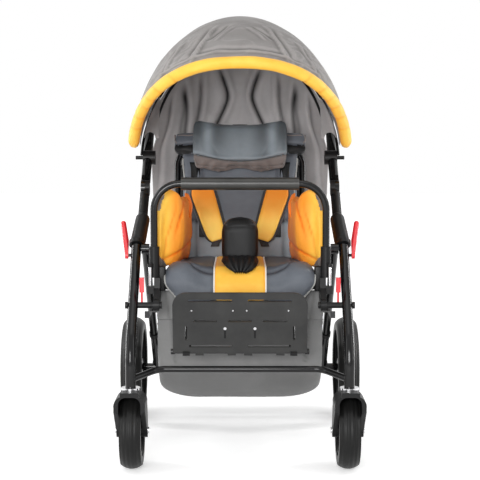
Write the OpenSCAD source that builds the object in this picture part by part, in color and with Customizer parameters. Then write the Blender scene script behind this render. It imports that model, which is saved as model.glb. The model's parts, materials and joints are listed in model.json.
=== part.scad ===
// Special needs buggy with swivel casters, tilting seat, reclining back, canopy and folding frame.
// Lengths are millimetres. Places called _y are measured backwards from the casters' swivel axis.

/* [Casters] */
// Distance of each caster and front leg from the middle
caster_x = 261; // [250:1:280]
// Caster tyre diameter
caster_d = 185; // [170:1:195]
// Caster tyre width
caster_w = 51; // [40:1:55]
// How far the caster axle trails its swivel axis
caster_trail = 40; // [32:1:48]
// Caster axle bolt diameter
caster_axle_d = 8; // [6:0.5:10]
// Caster hub flange diameter, where the tyre seats
caster_hub_d = 124; // [100:1:135]
// Thickness of each fork leg
fork_leg_t = 11; // [8:0.5:14]
// Fork stem diameter
stem_d = 12; // [10:0.5:14]
// Fork stem length above the crown
stem_l = 68; // [50:1:75]
// Head washer diameter
washer_d = 46; // [36:1:50]
// Head washer thickness
washer_t = 5; // [3:0.5:7]

/* [Rear wheels] */
// Distance of each rear wheel's middle from the buggy's middle
rear_wheel_x = 303; // [298:1:320]
// Distance of the rear axle behind the caster swivel axis
rear_axle_y = 620; // [590:1:660]
// Rear tyre diameter
rear_d = 285; // [270:1:300]
// Rear tyre width
rear_w = 58; // [48:1:60]
// Rear rim diameter, where the tyre seats
rear_rim_d = 216; // [200:1:225]
// Number of round windows in each rear rim
rim_windows = 6; // [4:1:8]
// Rear axle tube diameter
axle_tube_d = 20; // [16:0.5:24]
// Rear stub axle diameter
stub_d = 12; // [10:0.5:14]

/* [Frame tubes] */
// Front leg tube diameter
leg_d = 25; // [22:0.5:28]
// Height where the front leg leaves the vertical
leg_bend_z = 300; // [290:1:315]
// Bend radius of the front leg
leg_bend_r = 140; // [100:5:160]
// Distance of the front leg's upper end behind the casters
knuckle_y = 228; // [215:1:245]
// Height of the front leg's upper end
knuckle_z = 560; // [545:1:575]
// Rear leg tube diameter
rear_leg_d = 21; // [18:0.5:23]
// Height of the rear leg's pivot on the front leg
rear_pivot_z = 520; // [505:1:525]
// Distance of the rear leg's lower end from the middle
rear_leg_x = 250; // [246:1:254]
// Front cross tube diameter
cross_d = 16; // [12:0.5:20]
// Height of the front cross tube
cross_z = 238; // [234:1:250]
// Distance of the front cross tube behind the casters
cross_y = 60; // [45:1:70]
// Distance of each push handle tube from the middle
handle_x = 250; // [246:1:252]
// Push handle tube diameter
handle_d = 25; // [22:0.5:26]
// Distance of the fold joint behind the casters
fold_y = 362; // [350:1:380]
// Height of the fold joint
fold_z = 666; // [655:1:680]
// Distance of the push grip behind the casters
grip_y = 750; // [735:1:790]
// Height of the push grip
grip_z = 975; // [950:1:1020]
// Foam grip diameter
grip_d = 34; // [30:1:40]
// Foam grip length
grip_l = 340; // [260:5:360]

/* [Canopy] */
// Distance of the canopy hubs behind the casters
hub_y = 460; // [450:1:480]
// Half width of the canopy's front panel
canopy_w = 285; // [280:1:300]
// Height of the canopy above its hubs
canopy_h = 383; // [350:1:400]
// How much further the canopy's front edge reaches
canopy_rise = 13; // [0:1:20]
// Roundness of the canopy's front arch
canopy_round = 2.6; // [2.4:0.05:2.8]
// Roundness of the canopy's rear arch
rear_round = 2; // [2:0.05:2.2]
// Forward lean of the canopy's front edge
front_lean = 50; // [44:1:56]
// Backward lean of the canopy's rear bow
rear_lean = 33; // [28:1:36]
// Padded rim diameter
rim_d = 30; // [24:1:34]
// Canopy bow diameter
bow_d = 8; // [6:0.5:9]
// Canopy cloth thickness
cloth_t = 2.5; // [2:0.1:3]
// Height of the hanging curtain's lower edge
curtain_z = 600; // [560:5:640]
// Number of folds across the curtain
curtain_folds = 9; // [5:1:11]

/* [Seat] */
// Height of the seat's tilt pivot on the front leg
tilt_z = 392; // [388:1:398]
// Seat rail tube diameter
rail_d = 20; // [16:0.5:22]
// Distance of each seat rail from the middle
rail_x = 188; // [184:1:190]
// Distance of the seat's front tube behind the casters
seat_front_y = 150; // [146:1:158]
// Height of the seat's front tube
seat_front_z = 430; // [426:1:436]
// Distance of the seat rails' rear ends behind the casters
seat_rear_y = 455; // [445:1:470]
// Height of the seat rails' rear ends
seat_rear_z = 412; // [405:1:420]
// Seat cushion width
seat_w = 386; // [370:1:392]
// Seat cushion thickness
seat_t = 32; // [26:1:36]
// How much thicker the seat cushion is at its rear
seat_wedge = 16; // [0:1:20]
// Length of the lip that hangs over the seat's front
lip_l = 38; // [25:1:45]
// Width of the orange centre stripe
stripe_w = 128; // [100:1:150]
// Tilt bolt diameter
tilt_bolt_d = 10; // [8:0.5:11]
// Tilt bush outer diameter
tilt_bush_d = 15; // [14:0.5:18]

/* [Back and headrest] */
// Backward lean of the back
back_lean = 15; // [8:1:18]
// Back post tube diameter
post_d = 17; // [14:0.5:18]
// Distance of each back post from the middle
post_x = 172; // [168:1:173]
// Height of the back posts above their hinge
post_l = 340; // [320:1:360]
// Width of the back cushion between the posts
back_w = 324; // [300:1:325]
// Width across the back cushion's shoulders
shoulder_w = 370; // [350:1:380]
// Height of the back cushion
back_l = 377; // [370:1:400]
// Back cushion thickness
back_t = 38; // [30:1:42]
// Headrest width
head_w = 248; // [220:1:270]
// Headrest height
head_l = 142; // [120:1:150]
// Headrest thickness
head_t = 36; // [28:1:40]

/* [Bumper, pommel and footplate] */
// Distance of each bumper leg from the middle
bumper_x = 212; // [212:1:216]
// Distance of the bumper bar behind the casters
bumper_y = 130; // [126:1:134]
// Height of the bumper bar
bumper_z = 686; // [660:1:700]
// Bumper tube diameter
bumper_d = 18; // [14:0.5:20]
// Bumper bend radius
bumper_r = 65; // [45:1:80]
// Bumper foam diameter
foam_d = 31; // [26:1:36]
// Bumper foam length
foam_l = 290; // [200:5:290]
// Pommel width
pommel_w = 96; // [80:1:110]
// Pommel height
pommel_h = 122; // [100:1:135]
// Footplate width
plate_w = 324; // [300:1:340]
// Footplate height from its hinge
plate_l = 158; // [140:1:165]
// Footplate thickness
plate_t = 5; // [4:0.5:7]
// Width of the footplate's strap slots
slot_w = 6; // [5:0.5:8]
// Footplate hinge rod diameter
hinge_d = 10; // [8:0.5:12]

/* [Basket] */
// Basket width
basket_w = 408; // [380:1:412]
// Height of the basket's floor
basket_z = 122; // [115:1:140]
// Basket cloth thickness
basket_t = 3; // [2:0.5:4]

/* [Hidden] */
$fn = 48;

// Clearances
gap = 0.3;
run_gap = 0.06;

// Colours
frame_black = [0.13, 0.13, 0.14];
plastic_black = [0.1, 0.1, 0.11];
rubber_black = [0.08, 0.08, 0.08];
chrome_grey = [0.75, 0.75, 0.76];
cloth_grey = [0.5, 0.48, 0.47];
slate = [0.42, 0.45, 0.49];
orange = [0.98, 0.65, 0.18];
red = [0.85, 0.13, 0.16];

// Middle of the buggy's length, which becomes the origin
front_most = caster_trail - caster_d / 2;
rear_most = max(grip_y + grip_d / 2, rear_axle_y + rear_d / 2);
mid_y = (front_most + rear_most) / 2;

// Caster stack, from the tyre up to the front leg's foot
tyre_gap = 4;
crown_t = 11;
caster_axle_z = caster_d / 2;
fork_top_z = caster_d + tyre_gap + crown_t;
fork_in = caster_w / 2 + 1;
fork_out = fork_in + fork_leg_t;
crown_half = 21.5;
fork_eye_r = 17;
leg_foot_z = fork_top_z + gap + washer_t;
caster_hub_w = caster_w - 5;

// Front leg, with its pivots on the sloping run
function leg_at(z) = [caster_x, knuckle_y * (z - leg_bend_z) / (knuckle_z - leg_bend_z), z];
leg_pts = [[caster_x, 0, leg_foot_z], [caster_x, 0, leg_bend_z], [caster_x, knuckle_y, knuckle_z]];
leg_in = caster_x - leg_d / 2;
leg_out = caster_x + leg_d / 2;
tilt_y = leg_at(tilt_z)[1];
lever_z = 505;
lever_y = leg_at(lever_z)[1];
lever_pin_d = 8;
lever_t = 8;
lever_x = leg_out + 6;

// Rear frame
rear_pivot_y = leg_at(rear_pivot_z)[1];
rear_pivot_d = 10;
rear_eye_w = 20;
rear_eye_d = 26;
rear_eye_x = leg_in - 1 - rear_eye_w / 2;
rear_axle_z = rear_d / 2;
clamp_w = 26;
clamp_d = 38;
collar_at = 0.68;
collar_l = 16;
rear_hub_w = 46;
rear_hub_in = rear_wheel_x - rear_hub_w / 2;
stub_end = rear_wheel_x + rear_hub_w / 2;
cap_t = 5;
pedal_x = 100;
pedal_t = 8;
pedal_y = 48;
pedal_z = -24;

// Upright, fold joint and push handle, on one sloping line
fold_p = [handle_x, fold_y, fold_z];
handle_dir = unit([0, grip_y - fold_y, grip_z - fold_z]);
hub_z = fold_z + (hub_y - fold_y) * (grip_z - fold_z) / (grip_y - fold_y);
upright_p = [handle_x, knuckle_y + 18, knuckle_z + 15];
upright_dir = unit([0, fold_y - upright_p[1], fold_z - upright_p[2]]);
disc_d = 42;
disc_t = 11;
disc_split = handle_x - 0.4;
fold_pin_d = 12;
tube_start = disc_d / 2 + 3;
handle_r = 60;

// Canopy layers, from the outside in
pivot_pin_d = 10;
hub_d = 39;
bow_sag = 1.2;
front_h = canopy_h + canopy_rise;
front_bow_w = canopy_w - cloth_t - gap - bow_sag - bow_d / 2;
layer_t = cloth_t + bow_d + 2 * gap + 0.2;
rear_panel_w = canopy_w - layer_t;
rear_bow_w = rear_panel_w - cloth_t - gap - bow_sag / 3 - bow_d / 2;
front_bow_h = front_h - cloth_t - gap - bow_sag - bow_d / 2;
rear_panel_h = canopy_h - layer_t;
rear_bow_h = rear_panel_h - cloth_t - gap - bow_sag / 3 - bow_d / 2;
panel_overlap = 12;
panel_edge = 84;
rim_reach = 82;
hub_in = handle_x - handle_d / 2 - 8.5;
hub_out = rear_bow_w - bow_d / 2 - 0.4;
curtain_half = handle_x - handle_d / 2 - 6;
curtain_y = hub_y + 246;
hang_gap = 1.2;

// Seat, in the rails' own slope
seat_slope = atan2(seat_front_z - seat_rear_z, seat_rear_y - seat_front_y);
rail_r = 50;
bracket_in = rail_x + rail_d / 2 - 1;
bracket_out = bracket_in + 14.6;
board_t = 12;
lip_r = 40;
lip_t = 13;
arc_t = 17;
seat_crown = 6;
panel_top = 642;
panel_seat = seat_crown * 0.45;
seat_top_front = seat_front_z + rail_d / 2 + gap + seat_t;
seat_top_rear = seat_rear_z + rail_d / 2 + gap + seat_t + seat_wedge;
back_y = seat_rear_y - 5;
post_collar_d = post_d + 4;
seat_back_y = back_y - post_collar_d / 2 - 1;
pommel_y = 200;
pommel_depth = 74;
stem_w = 30;
stem_t = 8;
function seat_top_z(y) = seat_top_front + (seat_top_rear - seat_top_front) * (y - seat_front_y)
  / (seat_rear_y - seat_front_y);

// Back, in its own lean
back_z = seat_rear_z + 28;
back_pin_d = 10;
lug_t = 10;
lug_x = post_x + post_d / 2 + 2.5;
cushion_n = post_d / 2 + 1;
back_crown = 6;
board_n = cushion_n - gap;
arm_low = max(back_l, post_l + post_d / 2) + 3;
arm_t = 12;
stem_low = 230;
head_low = arm_low - 127;
shoulder_z = 312;
shoulder_fade = 16;
harness_w = 54;
harness_t = 14;
harness_high = [108, 222];
harness_low = [60, 70];
web_x = 112;
web_low = 226;
web_l = 62;
web_w = 25;
web_t = 2;
head_n = cushion_n + back_t + 6 + 5;
head_wrap = 26;
strap_n = cushion_n + back_t + 2.5;
pad_n = cushion_n + back_t + back_crown - 0.2;

// Bumper and footplate
socket_d = 26;
socket_z = seat_front_z + 25;
socket_top = socket_z + 76;
socket_floor = 5;
hanger_x = 128;
hanger_d = 18;
hinge_y = 62;
hinge_z = 281;
plate_lean = 15;
plate_low = 2;
plate_off = hinge_d / 2 + 5;
lug_d = 20;

// Basket
basket_front = seat_front_y + 18;
basket_rear = rear_axle_y - 72;
basket_corner = [100, 40];
basket_bend = 130;
basket_top_front = tilt_z - 12;
basket_top_rear = basket_top_front - 180;

// Vectors and steps
function unit(v) = v / norm(v);
function smooth(t) = let (c = min(1, max(0, t))) c * c * (3 - 2 * c);
function bump(x, at, wide) = exp(-pow((x - at) / wide, 2));

// Places on the canopy's arch and in the leaning back
function arch_x(t, w, n) = w * sign(sin(t)) * pow(abs(sin(t)), 2 / n);
function arch_r(t, h, n) = h * pow(abs(cos(t)), 2 / n);
function canopy_at(x, r, lean, off) = [
  x,
  hub_y - r * sin(lean) - off * cos(lean),
  hub_z + r * cos(lean) - off * sin(lean)
];
function back_at(x, w, n) = [
  x,
  back_y + w * sin(back_lean) - n * cos(back_lean),
  back_z + w * cos(back_lean) + n * sin(back_lean)
];

// Corners of a bent tube
function turn_at(p, i) = acos(unit(p[i] - p[i - 1]) * unit(p[i + 1] - p[i]));
function bend_in(p, i, r) = p[i] - unit(p[i] - p[i - 1]) * r * tan(turn_at(p, i) / 2);
function bend_out(p, i, r) = p[i] + unit(p[i + 1] - p[i]) * r * tan(turn_at(p, i) / 2);

module place() translate([0, -mid_y, 0]) children();

module on_side(s) {
  if (s > 0) children();
  else mirror([1, 0, 0]) children();
}

module both_sides() {
  on_side(1) children();
  on_side(-1) children();
}

// A round bar from a to b
module rod(a, b, d) {
  v = b - a;
  translate(a) rotate([0, acos(v[2] / norm(v)), atan2(v[1], v[0])]) cylinder(d = d, h = norm(v));
}

// A round bar along X
module bar_x(x0, x1, y, z, d) translate([x0, y, z]) rotate([0, 90, 0]) cylinder(d = d, h = x1 - x0);

// A plate across X, drawn as an outline of y and z
module plate_x(x0, x1) translate([x0, 0, 0]) rotate([90, 0, 90]) linear_extrude(x1 - x0) children();

// The bend at corner i of a tube
module elbow(p, i, r, d) {
  e = unit(p[i] - p[i - 1]);
  f = unit(p[i + 1] - p[i]);
  w = unit(cross(e, f));
  n = cross(w, e);
  c = bend_in(p, i, r) + n * r;
  multmatrix([
    [-n[0], e[0], w[0], c[0]],
    [-n[1], e[1], w[1], c[1]],
    [-n[2], e[2], w[2], c[2]],
    [0, 0, 0, 1]
  ]) rotate_extrude(angle = turn_at(p, i)) translate([r, 0]) circle(d = d);
}

// A tube through points that share a plane, its straight runs let into the bends
module bent_tube(p, d, r) {
  last = len(p) - 1;
  let_in = sqrt(0.06 * r);
  for (i = [0 : last - 1]) {
    way = unit(p[i + 1] - p[i]);
    rod(i == 0 ? p[0] : bend_out(p, i, r) - way * let_in,
      i == last - 1 ? p[last] : bend_in(p, i + 1, r) + way * let_in, d);
  }
  for (i = [1 : last - 1]) elbow(p, i, r, d + 0.2);
}

// A closed solid between two surfaces given as functions of u and v
module shell(nu, nv, outer, inner) {
  row = nv + 1;
  all = (nu + 1) * row;
  pts = concat(
    [for (i = [0 : nu]) for (j = [0 : nv]) outer(i / nu, j / nv)],
    [for (i = [0 : nu]) for (j = [0 : nv]) inner(i / nu, j / nv)]
  );
  mid = outer(0.5, 0.5);
  out = cross(outer(0.52, 0.5) - mid, outer(0.5, 0.52) - mid) * (mid - inner(0.5, 0.5)) > 0;
  quads = concat(
    [for (i = [0 : nu - 1]) for (j = [0 : nv - 1])
      [i * row + j, i * row + j + 1, (i + 1) * row + j + 1, (i + 1) * row + j]],
    [for (i = [0 : nu - 1]) for (j = [0 : nv - 1])
      [all + i * row + j, all + (i + 1) * row + j, all + (i + 1) * row + j + 1, all + i * row + j + 1]],
    [for (i = [0 : nu - 1]) [i * row, (i + 1) * row, all + (i + 1) * row, all + i * row]],
    [for (i = [0 : nu - 1])
      [i * row + nv, all + i * row + nv, all + (i + 1) * row + nv, (i + 1) * row + nv]],
    [for (j = [0 : nv - 1]) [j, all + j, all + j + 1, j + 1]],
    [for (j = [0 : nv - 1])
      [nu * row + j, nu * row + j + 1, all + nu * row + j + 1, all + nu * row + j]]
  );
  faces = [for (q = quads) each out
    ? [[q[0], q[1], q[2]], [q[0], q[2], q[3]]]
    : [[q[2], q[1], q[0]], [q[3], q[2], q[0]]]];
  polyhedron(pts, faces);
}

// A round tube along the canopy's arch, in a plane that leans forward
module arch_tube(w, h, round, lean, off, d, reach, steps, sides) {
  span = function(k) -reach + 2 * reach * k / steps;
  ring = function(k)
    let (
      t = span(k),
      a = [arch_x(t - 0.5, w, round), arch_r(t - 0.5, h, round)],
      b = [arch_x(t + 0.5, w, round), arch_r(t + 0.5, h, round)],
      g = unit(b - a),
      m = [-g[1], g[0]]
    )
    [for (j = [0 : sides - 1])
      let (p = 360 * j / sides)
      canopy_at(arch_x(t, w, round) + d / 2 * cos(p) * m[0],
        arch_r(t, h, round) + d / 2 * cos(p) * m[1], lean, off + d / 2 * sin(p))];
  pts = [for (k = [0 : steps]) each ring(k)];
  end = steps * sides;
  faces = concat(
    [for (k = [0 : steps - 1]) for (j = [0 : sides - 1])
      let (n = (j + 1) % sides, a = k * sides, b = a + sides)
      each [[a + j, b + n, a + n], [a + j, b + j, b + n]]],
    [for (j = [1 : sides - 2]) [0, j, j + 1]],
    [for (j = [1 : sides - 2]) [end, end + j + 1, end + j]]
  );
  polyhedron(pts, faces);
}

// Casters

// The fork's crown as seen from the front, with round shoulders
module caster_fork_crown() {
  shoulder_r = 24;
  low = caster_axle_z + 62;
  mid = fork_top_z - shoulder_r - 8;
  translate([0.3 - fork_out, low]) square([2 * fork_out - 0.6, mid - low]);
  for (x = [shoulder_r - fork_out, fork_out - shoulder_r]) translate([x, mid]) circle(r = shoulder_r);
  translate([-crown_half, low]) square([2 * crown_half, fork_top_z - low]);
}

// Room for the tyre under the crown
module tyre_room() {
  r = 18;
  top = caster_d + tyre_gap;
  translate([-fork_in, 0]) square([2 * fork_in, top - r]);
  translate([r - fork_in, 0]) square([2 * (fork_in - r), top]);
  for (x = [r - fork_in, fork_in - r]) translate([x, top - r]) circle(r = r);
}

module caster_fork(s) {
  crown_front = -46;
  crown_rear = 34;
  leg_top = caster_axle_z + 64;
  on_side(s) color(plastic_black) translate([caster_x, 0, 0]) difference() {
    union() {
      difference() {
        translate([0, crown_rear, 0]) rotate([90, 0, 0])
          linear_extrude(crown_rear - crown_front) caster_fork_crown();
        translate([0, crown_rear + 1, 0]) rotate([90, 0, 0])
          linear_extrude(crown_rear - crown_front + 2) tyre_room();
      }
      for (m = [0, 1]) mirror([m, 0, 0]) plate_x(fork_in, fork_out) {
        polygon([
          [crown_front, leg_top], [crown_rear, leg_top],
          [caster_trail + fork_eye_r - 1, caster_axle_z], [caster_trail - fork_eye_r + 1, caster_axle_z]
        ]);
        translate([caster_trail, caster_axle_z]) circle(r = fork_eye_r);
      }
      translate([0, 0, fork_top_z - 1]) cylinder(d = stem_d, h = stem_l + 1);
    }
    bar_x(-fork_out - 1, fork_out + 1, caster_trail, caster_axle_z, caster_axle_d + 2 * run_gap);
  }
}

module caster_axle(s) {
  head_t = 4;
  on_side(s) color(chrome_grey) translate([caster_x, 0, 0]) {
    bar_x(-fork_out, fork_out, caster_trail, caster_axle_z, caster_axle_d);
    for (x = [-fork_out - head_t, fork_out])
      bar_x(x, x + head_t, caster_trail, caster_axle_z, caster_axle_d + 7);
  }
}

// A ring turned about X, from an outline of radius and width
module turned_x(x, y, z) translate([x, y, z]) rotate([0, 90, 0]) rotate_extrude() children();

module tyre_outline(d, seat_d, w, crown_r) {
  intersection() {
    translate([seat_d / 2, -w / 2]) square([(d - seat_d) / 2, w]);
    translate([d / 2 - crown_r, 0]) circle(r = crown_r);
  }
}

module caster_tyre(s) {
  on_side(s) color(rubber_black) turned_x(caster_x, caster_trail, caster_axle_z)
    tyre_outline(caster_d, caster_hub_d, caster_w, caster_w * 0.78);
}

module caster_hub(s) {
  bore_r = caster_axle_d / 2 + run_gap;
  web_t = 12;
  rim_t = 9;
  on_side(s) color(plastic_black) turned_x(caster_x, caster_trail, caster_axle_z) {
    translate([bore_r, -fork_in + gap]) square([11, 2 * (fork_in - gap)]);
    translate([bore_r, -web_t / 2]) square([caster_hub_d / 2 - rim_t / 2 - bore_r, web_t]);
    translate([caster_hub_d / 2 - rim_t, -caster_hub_w / 2]) square([rim_t, caster_hub_w]);
  }
}

module head_washers() {
  color(chrome_grey) both_sides() translate([caster_x, 0, fork_top_z + gap]) difference() {
    cylinder(d = washer_d, h = washer_t);
    translate([0, 0, -1]) cylinder(d = stem_d + 2 * run_gap, h = washer_t + 2);
  }
}

// Rear wheels and axle

module rear_tyre(s) {
  on_side(s) color(rubber_black) turned_x(rear_wheel_x, rear_axle_y, rear_axle_z)
    tyre_outline(rear_d, rear_rim_d, rear_w, rear_w * 0.6);
}

module rear_rim(s) {
  bore_r = stub_d / 2 + run_gap;
  hub_r = 24;
  web_t = 12;
  rim_t = 12;
  rim_w = rear_w - 16;
  window_d = (rear_rim_d / 2 - rim_t - hub_r) * 0.82;
  window_r = (rear_rim_d / 2 - rim_t + hub_r) / 2;
  on_side(s) color(plastic_black) difference() {
    turned_x(rear_wheel_x, rear_axle_y, rear_axle_z) {
      translate([bore_r, -rear_hub_w / 2]) square([hub_r - bore_r, rear_hub_w]);
      translate([bore_r, -web_t / 2]) square([rear_rim_d / 2 - rim_t / 2 - bore_r, web_t]);
      translate([rear_rim_d / 2 - rim_t, -rim_w / 2]) square([rim_t, rim_w]);
    }
    for (k = [0 : rim_windows - 1])
      translate([rear_wheel_x, rear_axle_y, rear_axle_z]) rotate([k * 360 / rim_windows, 0, 0])
        bar_x(-web_t, web_t, 0, window_r, window_d);
  }
}

module rear_axle() {
  color(frame_black) {
    bar_x(-rear_hub_in + 1, rear_hub_in - 1, rear_axle_y, rear_axle_z, axle_tube_d);
    bar_x(-stub_end - gap, stub_end + gap, rear_axle_y, rear_axle_z, stub_d);
    for (x = [-stub_end - gap - cap_t, stub_end + gap])
      bar_x(x, x + cap_t, rear_axle_y, rear_axle_z, stub_d + 12);
  }
}

rear_top = [rear_eye_x, rear_pivot_y, rear_pivot_z];
rear_foot = [rear_leg_x - clamp_w / 2, rear_axle_y, rear_axle_z];

module rear_leg(s) {
  on_side(s) color(frame_black) difference() {
    union() {
      rod(rear_top, rear_foot, rear_leg_d);
      bar_x(rear_eye_x - rear_eye_w / 2, rear_eye_x + rear_eye_w / 2, rear_pivot_y, rear_pivot_z,
        rear_eye_d);
      bar_x(rear_leg_x - clamp_w, rear_leg_x, rear_axle_y, rear_axle_z, clamp_d);
    }
    bar_x(rear_eye_x - rear_eye_w, rear_eye_x + rear_eye_w, rear_pivot_y, rear_pivot_z,
      rear_pivot_d + 2 * run_gap);
    bar_x(0, 2 * rear_leg_x, rear_axle_y, rear_axle_z, axle_tube_d + 2 * run_gap);
  }
}

module rear_leg_collars() {
  dir = unit(rear_foot - rear_top);
  at = rear_top + (rear_foot - rear_top) * collar_at;
  color(plastic_black) both_sides() difference() {
    rod(at, at + dir * collar_l, rear_leg_d + 5);
    rod(at - dir, at + dir * (collar_l + 1), rear_leg_d + 2 * run_gap);
  }
}

module brake_pedal() {
  eye_d = axle_tube_d + 12;
  bar_d = 14;
  color(plastic_black) difference() {
    union() {
      bar_x(-pedal_x - 30, pedal_x + 30, rear_axle_y + pedal_y, rear_axle_z + pedal_z, bar_d);
      for (m = [0, 1]) mirror([m, 0, 0]) {
        bar_x(pedal_x, pedal_x + pedal_t, rear_axle_y, rear_axle_z, eye_d);
        plate_x(pedal_x, pedal_x + pedal_t) polygon([
          [rear_axle_y, rear_axle_z - eye_d / 2],
          [rear_axle_y + pedal_y, rear_axle_z + pedal_z - bar_d / 2],
          [rear_axle_y + pedal_y, rear_axle_z + pedal_z + bar_d / 2], [rear_axle_y, rear_axle_z + eye_d / 2]
        ]);
      }
    }
    bar_x(-2 * pedal_x, 2 * pedal_x, rear_axle_y, rear_axle_z, axle_tube_d + 2 * run_gap);
  }
}

// Front frame

module front_leg(s) {
  pivot_in = rear_eye_x - rear_eye_w / 2 - 1;
  on_side(s) color(frame_black) difference() {
    union() {
      bent_tube(leg_pts, leg_d, leg_bend_r);
      bar_x(pivot_in, caster_x, rear_pivot_y, rear_pivot_z, rear_pivot_d);
      bar_x(caster_x, lever_x + lever_t + 1, lever_y, lever_z, lever_pin_d);
    }
    translate([caster_x, 0, leg_foot_z - 1]) cylinder(d = stem_d + 2 * run_gap, h = stem_l);
    bar_x(leg_in - 5, leg_out + 5, tilt_y, tilt_z, tilt_bolt_d + 2 * run_gap);
  }
}

module front_cross_tube() {
  ramp = 62;
  color(frame_black) difference() {
    bent_tube([
      [caster_x, 0, cross_z - 14], [caster_x - ramp, cross_y, cross_z],
      [ramp - caster_x, cross_y, cross_z], [-caster_x, 0, cross_z - 14]
    ], cross_d, 45);
    both_sides() translate([caster_x, 0, leg_foot_z - 30]) cylinder(d = leg_d + 0.2, h = 120);
  }
}

module knuckles() {
  low = [caster_x - 4, knuckle_y - 16, knuckle_z - 20];
  high = upright_p + upright_dir * 22;
  skirt = unit(leg_pts[2] - leg_pts[1]);
  color(plastic_black) both_sides() difference() {
    union() {
      hull() {
        translate(low) sphere(d = leg_d + 14, $fn = 20);
        translate(high) sphere(d = handle_d + 12, $fn = 20);
      }
      rod(leg_pts[2] - skirt * 42, leg_pts[2] - skirt * 30, leg_d + 12);
    }
    rod(leg_pts[2] - skirt * 70, leg_pts[2], leg_d + 2 * run_gap);
    rod(upright_p, upright_p + upright_dir * 80, handle_d + 2 * run_gap);
    bar_x(rear_eye_x - rear_eye_w / 2 - 1, rear_eye_x + rear_eye_w / 2 + 1, rear_pivot_y, rear_pivot_z,
      rear_eye_d + 2);
  }
}

// Half of a fold joint: a disc beside the tube and the plate that ties it to the tube's end
module fold_half(x0, x1, dir) {
  tip = fold_p + dir * (tube_start + 14);
  across = [0, -dir[2], dir[1]] * (disc_d / 2 - 8);
  bar_x(x0, x1, fold_y, fold_z, disc_d);
  plate_x(x0, x1) polygon([
    for (p = [fold_p + across, tip + across, tip - across, fold_p - across]) [p[1], p[2]]
  ]);
}

module lower_uprights() {
  end = fold_p - upright_dir * tube_start;
  color(plastic_black) both_sides() {
    rod(upright_p, end, handle_d);
    fold_half(disc_split - disc_t, disc_split, -upright_dir);
    bar_x(disc_split - 1, disc_split + disc_t + 1, fold_y, fold_z, fold_pin_d);
  }
}

module tilt_bushes() {
  color(plastic_black) both_sides() difference() {
    bar_x(bracket_out + gap, leg_in, tilt_y, tilt_z, tilt_bush_d);
    bar_x(bracket_out, caster_x, tilt_y, tilt_z, tilt_bolt_d + 2 * run_gap);
  }
}

module tilt_bolts() {
  head_t = 6;
  nut_x = bracket_in - gap;
  color(chrome_grey) both_sides() {
    bar_x(nut_x, leg_out + gap, tilt_y, tilt_z, tilt_bolt_d);
    bar_x(leg_out + gap, leg_out + gap + head_t, tilt_y, tilt_z, tilt_bolt_d + 7);
    bar_x(nut_x - head_t, nut_x, tilt_y, tilt_z, tilt_bolt_d + 7);
  }
}

// The bag as seen from the front, with long flat corners
module basket_outline(inset) {
  half = basket_w / 2 - inset;
  floor_z = basket_z + inset;
  wide = basket_corner[0] - inset;
  high = basket_corner[1] - inset;
  right = [for (a = [0 : 10 : 90]) [half - wide + wide * sin(a), floor_z + high - high * cos(a)]];
  polygon(concat(
    right, [[half, basket_top_front + 1], [-half, basket_top_front + 1]],
    [for (k = [len(right) - 1 : -1 : 0]) [-right[k][0], right[k][1]]]
  ));
}

// The bag's side line, with a wide bend from the front wall into the floor
module basket_side(inset) {
  r = basket_bend - inset;
  y = basket_front + inset;
  z = basket_z + inset;
  translate([y, z + r]) square([r + 1, basket_top_front - z - r + 1]);
  translate([y + r, z]) square([basket_rear - inset - y - r, basket_top_front - z + 1]);
  intersection() {
    translate([y + r, z + r]) circle(r = r, $fn = 96);
    translate([y, z]) square(r + 1);
  }
}

module basket_bag(inset) {
  intersection() {
    translate([0, basket_rear - inset, 0]) rotate([90, 0, 0])
      linear_extrude(basket_rear - basket_front - 2 * inset) basket_outline(inset);
    plate_x(-basket_w, basket_w) basket_side(inset);
  }
}

module basket() {
  depth = basket_rear - basket_front;
  slope = atan2(basket_top_front - basket_top_rear, depth);
  strap_w = 12;
  strap_t = 2;
  strap_x = (basket_w / 2 + leg_in) / 2;
  color(cloth_grey) {
    difference() {
      basket_bag(0);
      basket_bag(basket_t);
      translate([-basket_w, basket_front, basket_top_front]) rotate([-slope, 0, 0])
        translate([0, -200, 0]) cube([2 * basket_w, 2 * depth, 2 * depth]);
    }
    both_sides() {
      strap_low = basket_top_front - 20;
      translate([basket_w / 2 - 1, basket_front + 4, strap_low])
        cube([strap_x - basket_w / 2 + 7, strap_w, strap_t]);
      strap_y = tilt_y - strap_w / 2;
      translate([strap_x - 6, strap_y, strap_low]) cube([strap_w, basket_front + 16 - strap_y, strap_t]);
      strap_h = tilt_z - tilt_bush_d / 2 - gap - strap_low;
      translate([strap_x - 6, strap_y, strap_low]) cube([strap_w, strap_w, strap_h]);
    }
  }
}

// Push handle and canopy

module push_handle() {
  start = fold_p + handle_dir * tube_start;
  corner = [handle_x, grip_y, grip_z];
  color(frame_black) {
    bent_tube([start, corner, [-handle_x, grip_y, grip_z], [-start[0], start[1], start[2]]],
      handle_d, handle_r);
    both_sides() difference() {
      fold_half(disc_split + gap, disc_split + disc_t, handle_dir);
      bar_x(disc_split - 1, disc_split + disc_t + 1, fold_y, fold_z, fold_pin_d + 2 * run_gap);
    }
  }
}

module handle_grip() {
  color(rubber_black) difference() {
    bar_x(-grip_l / 2, grip_l / 2, grip_y, grip_z, grip_d);
    bar_x(-grip_l, grip_l, grip_y, grip_z, handle_d + 2 * run_gap);
  }
}

module canopy_hubs() {
  color(plastic_black) both_sides() {
    difference() {
      bar_x(hub_in, hub_out, hub_y, hub_z, hub_d);
      rod([handle_x, hub_y, hub_z] - handle_dir * 60, [handle_x, hub_y, hub_z] + handle_dir * 60,
        handle_d + 2 * run_gap);
    }
    bar_x(handle_x + handle_d / 2 + gap, canopy_w - cloth_t - gap, hub_y, hub_z, pivot_pin_d);
  }
}

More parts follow.
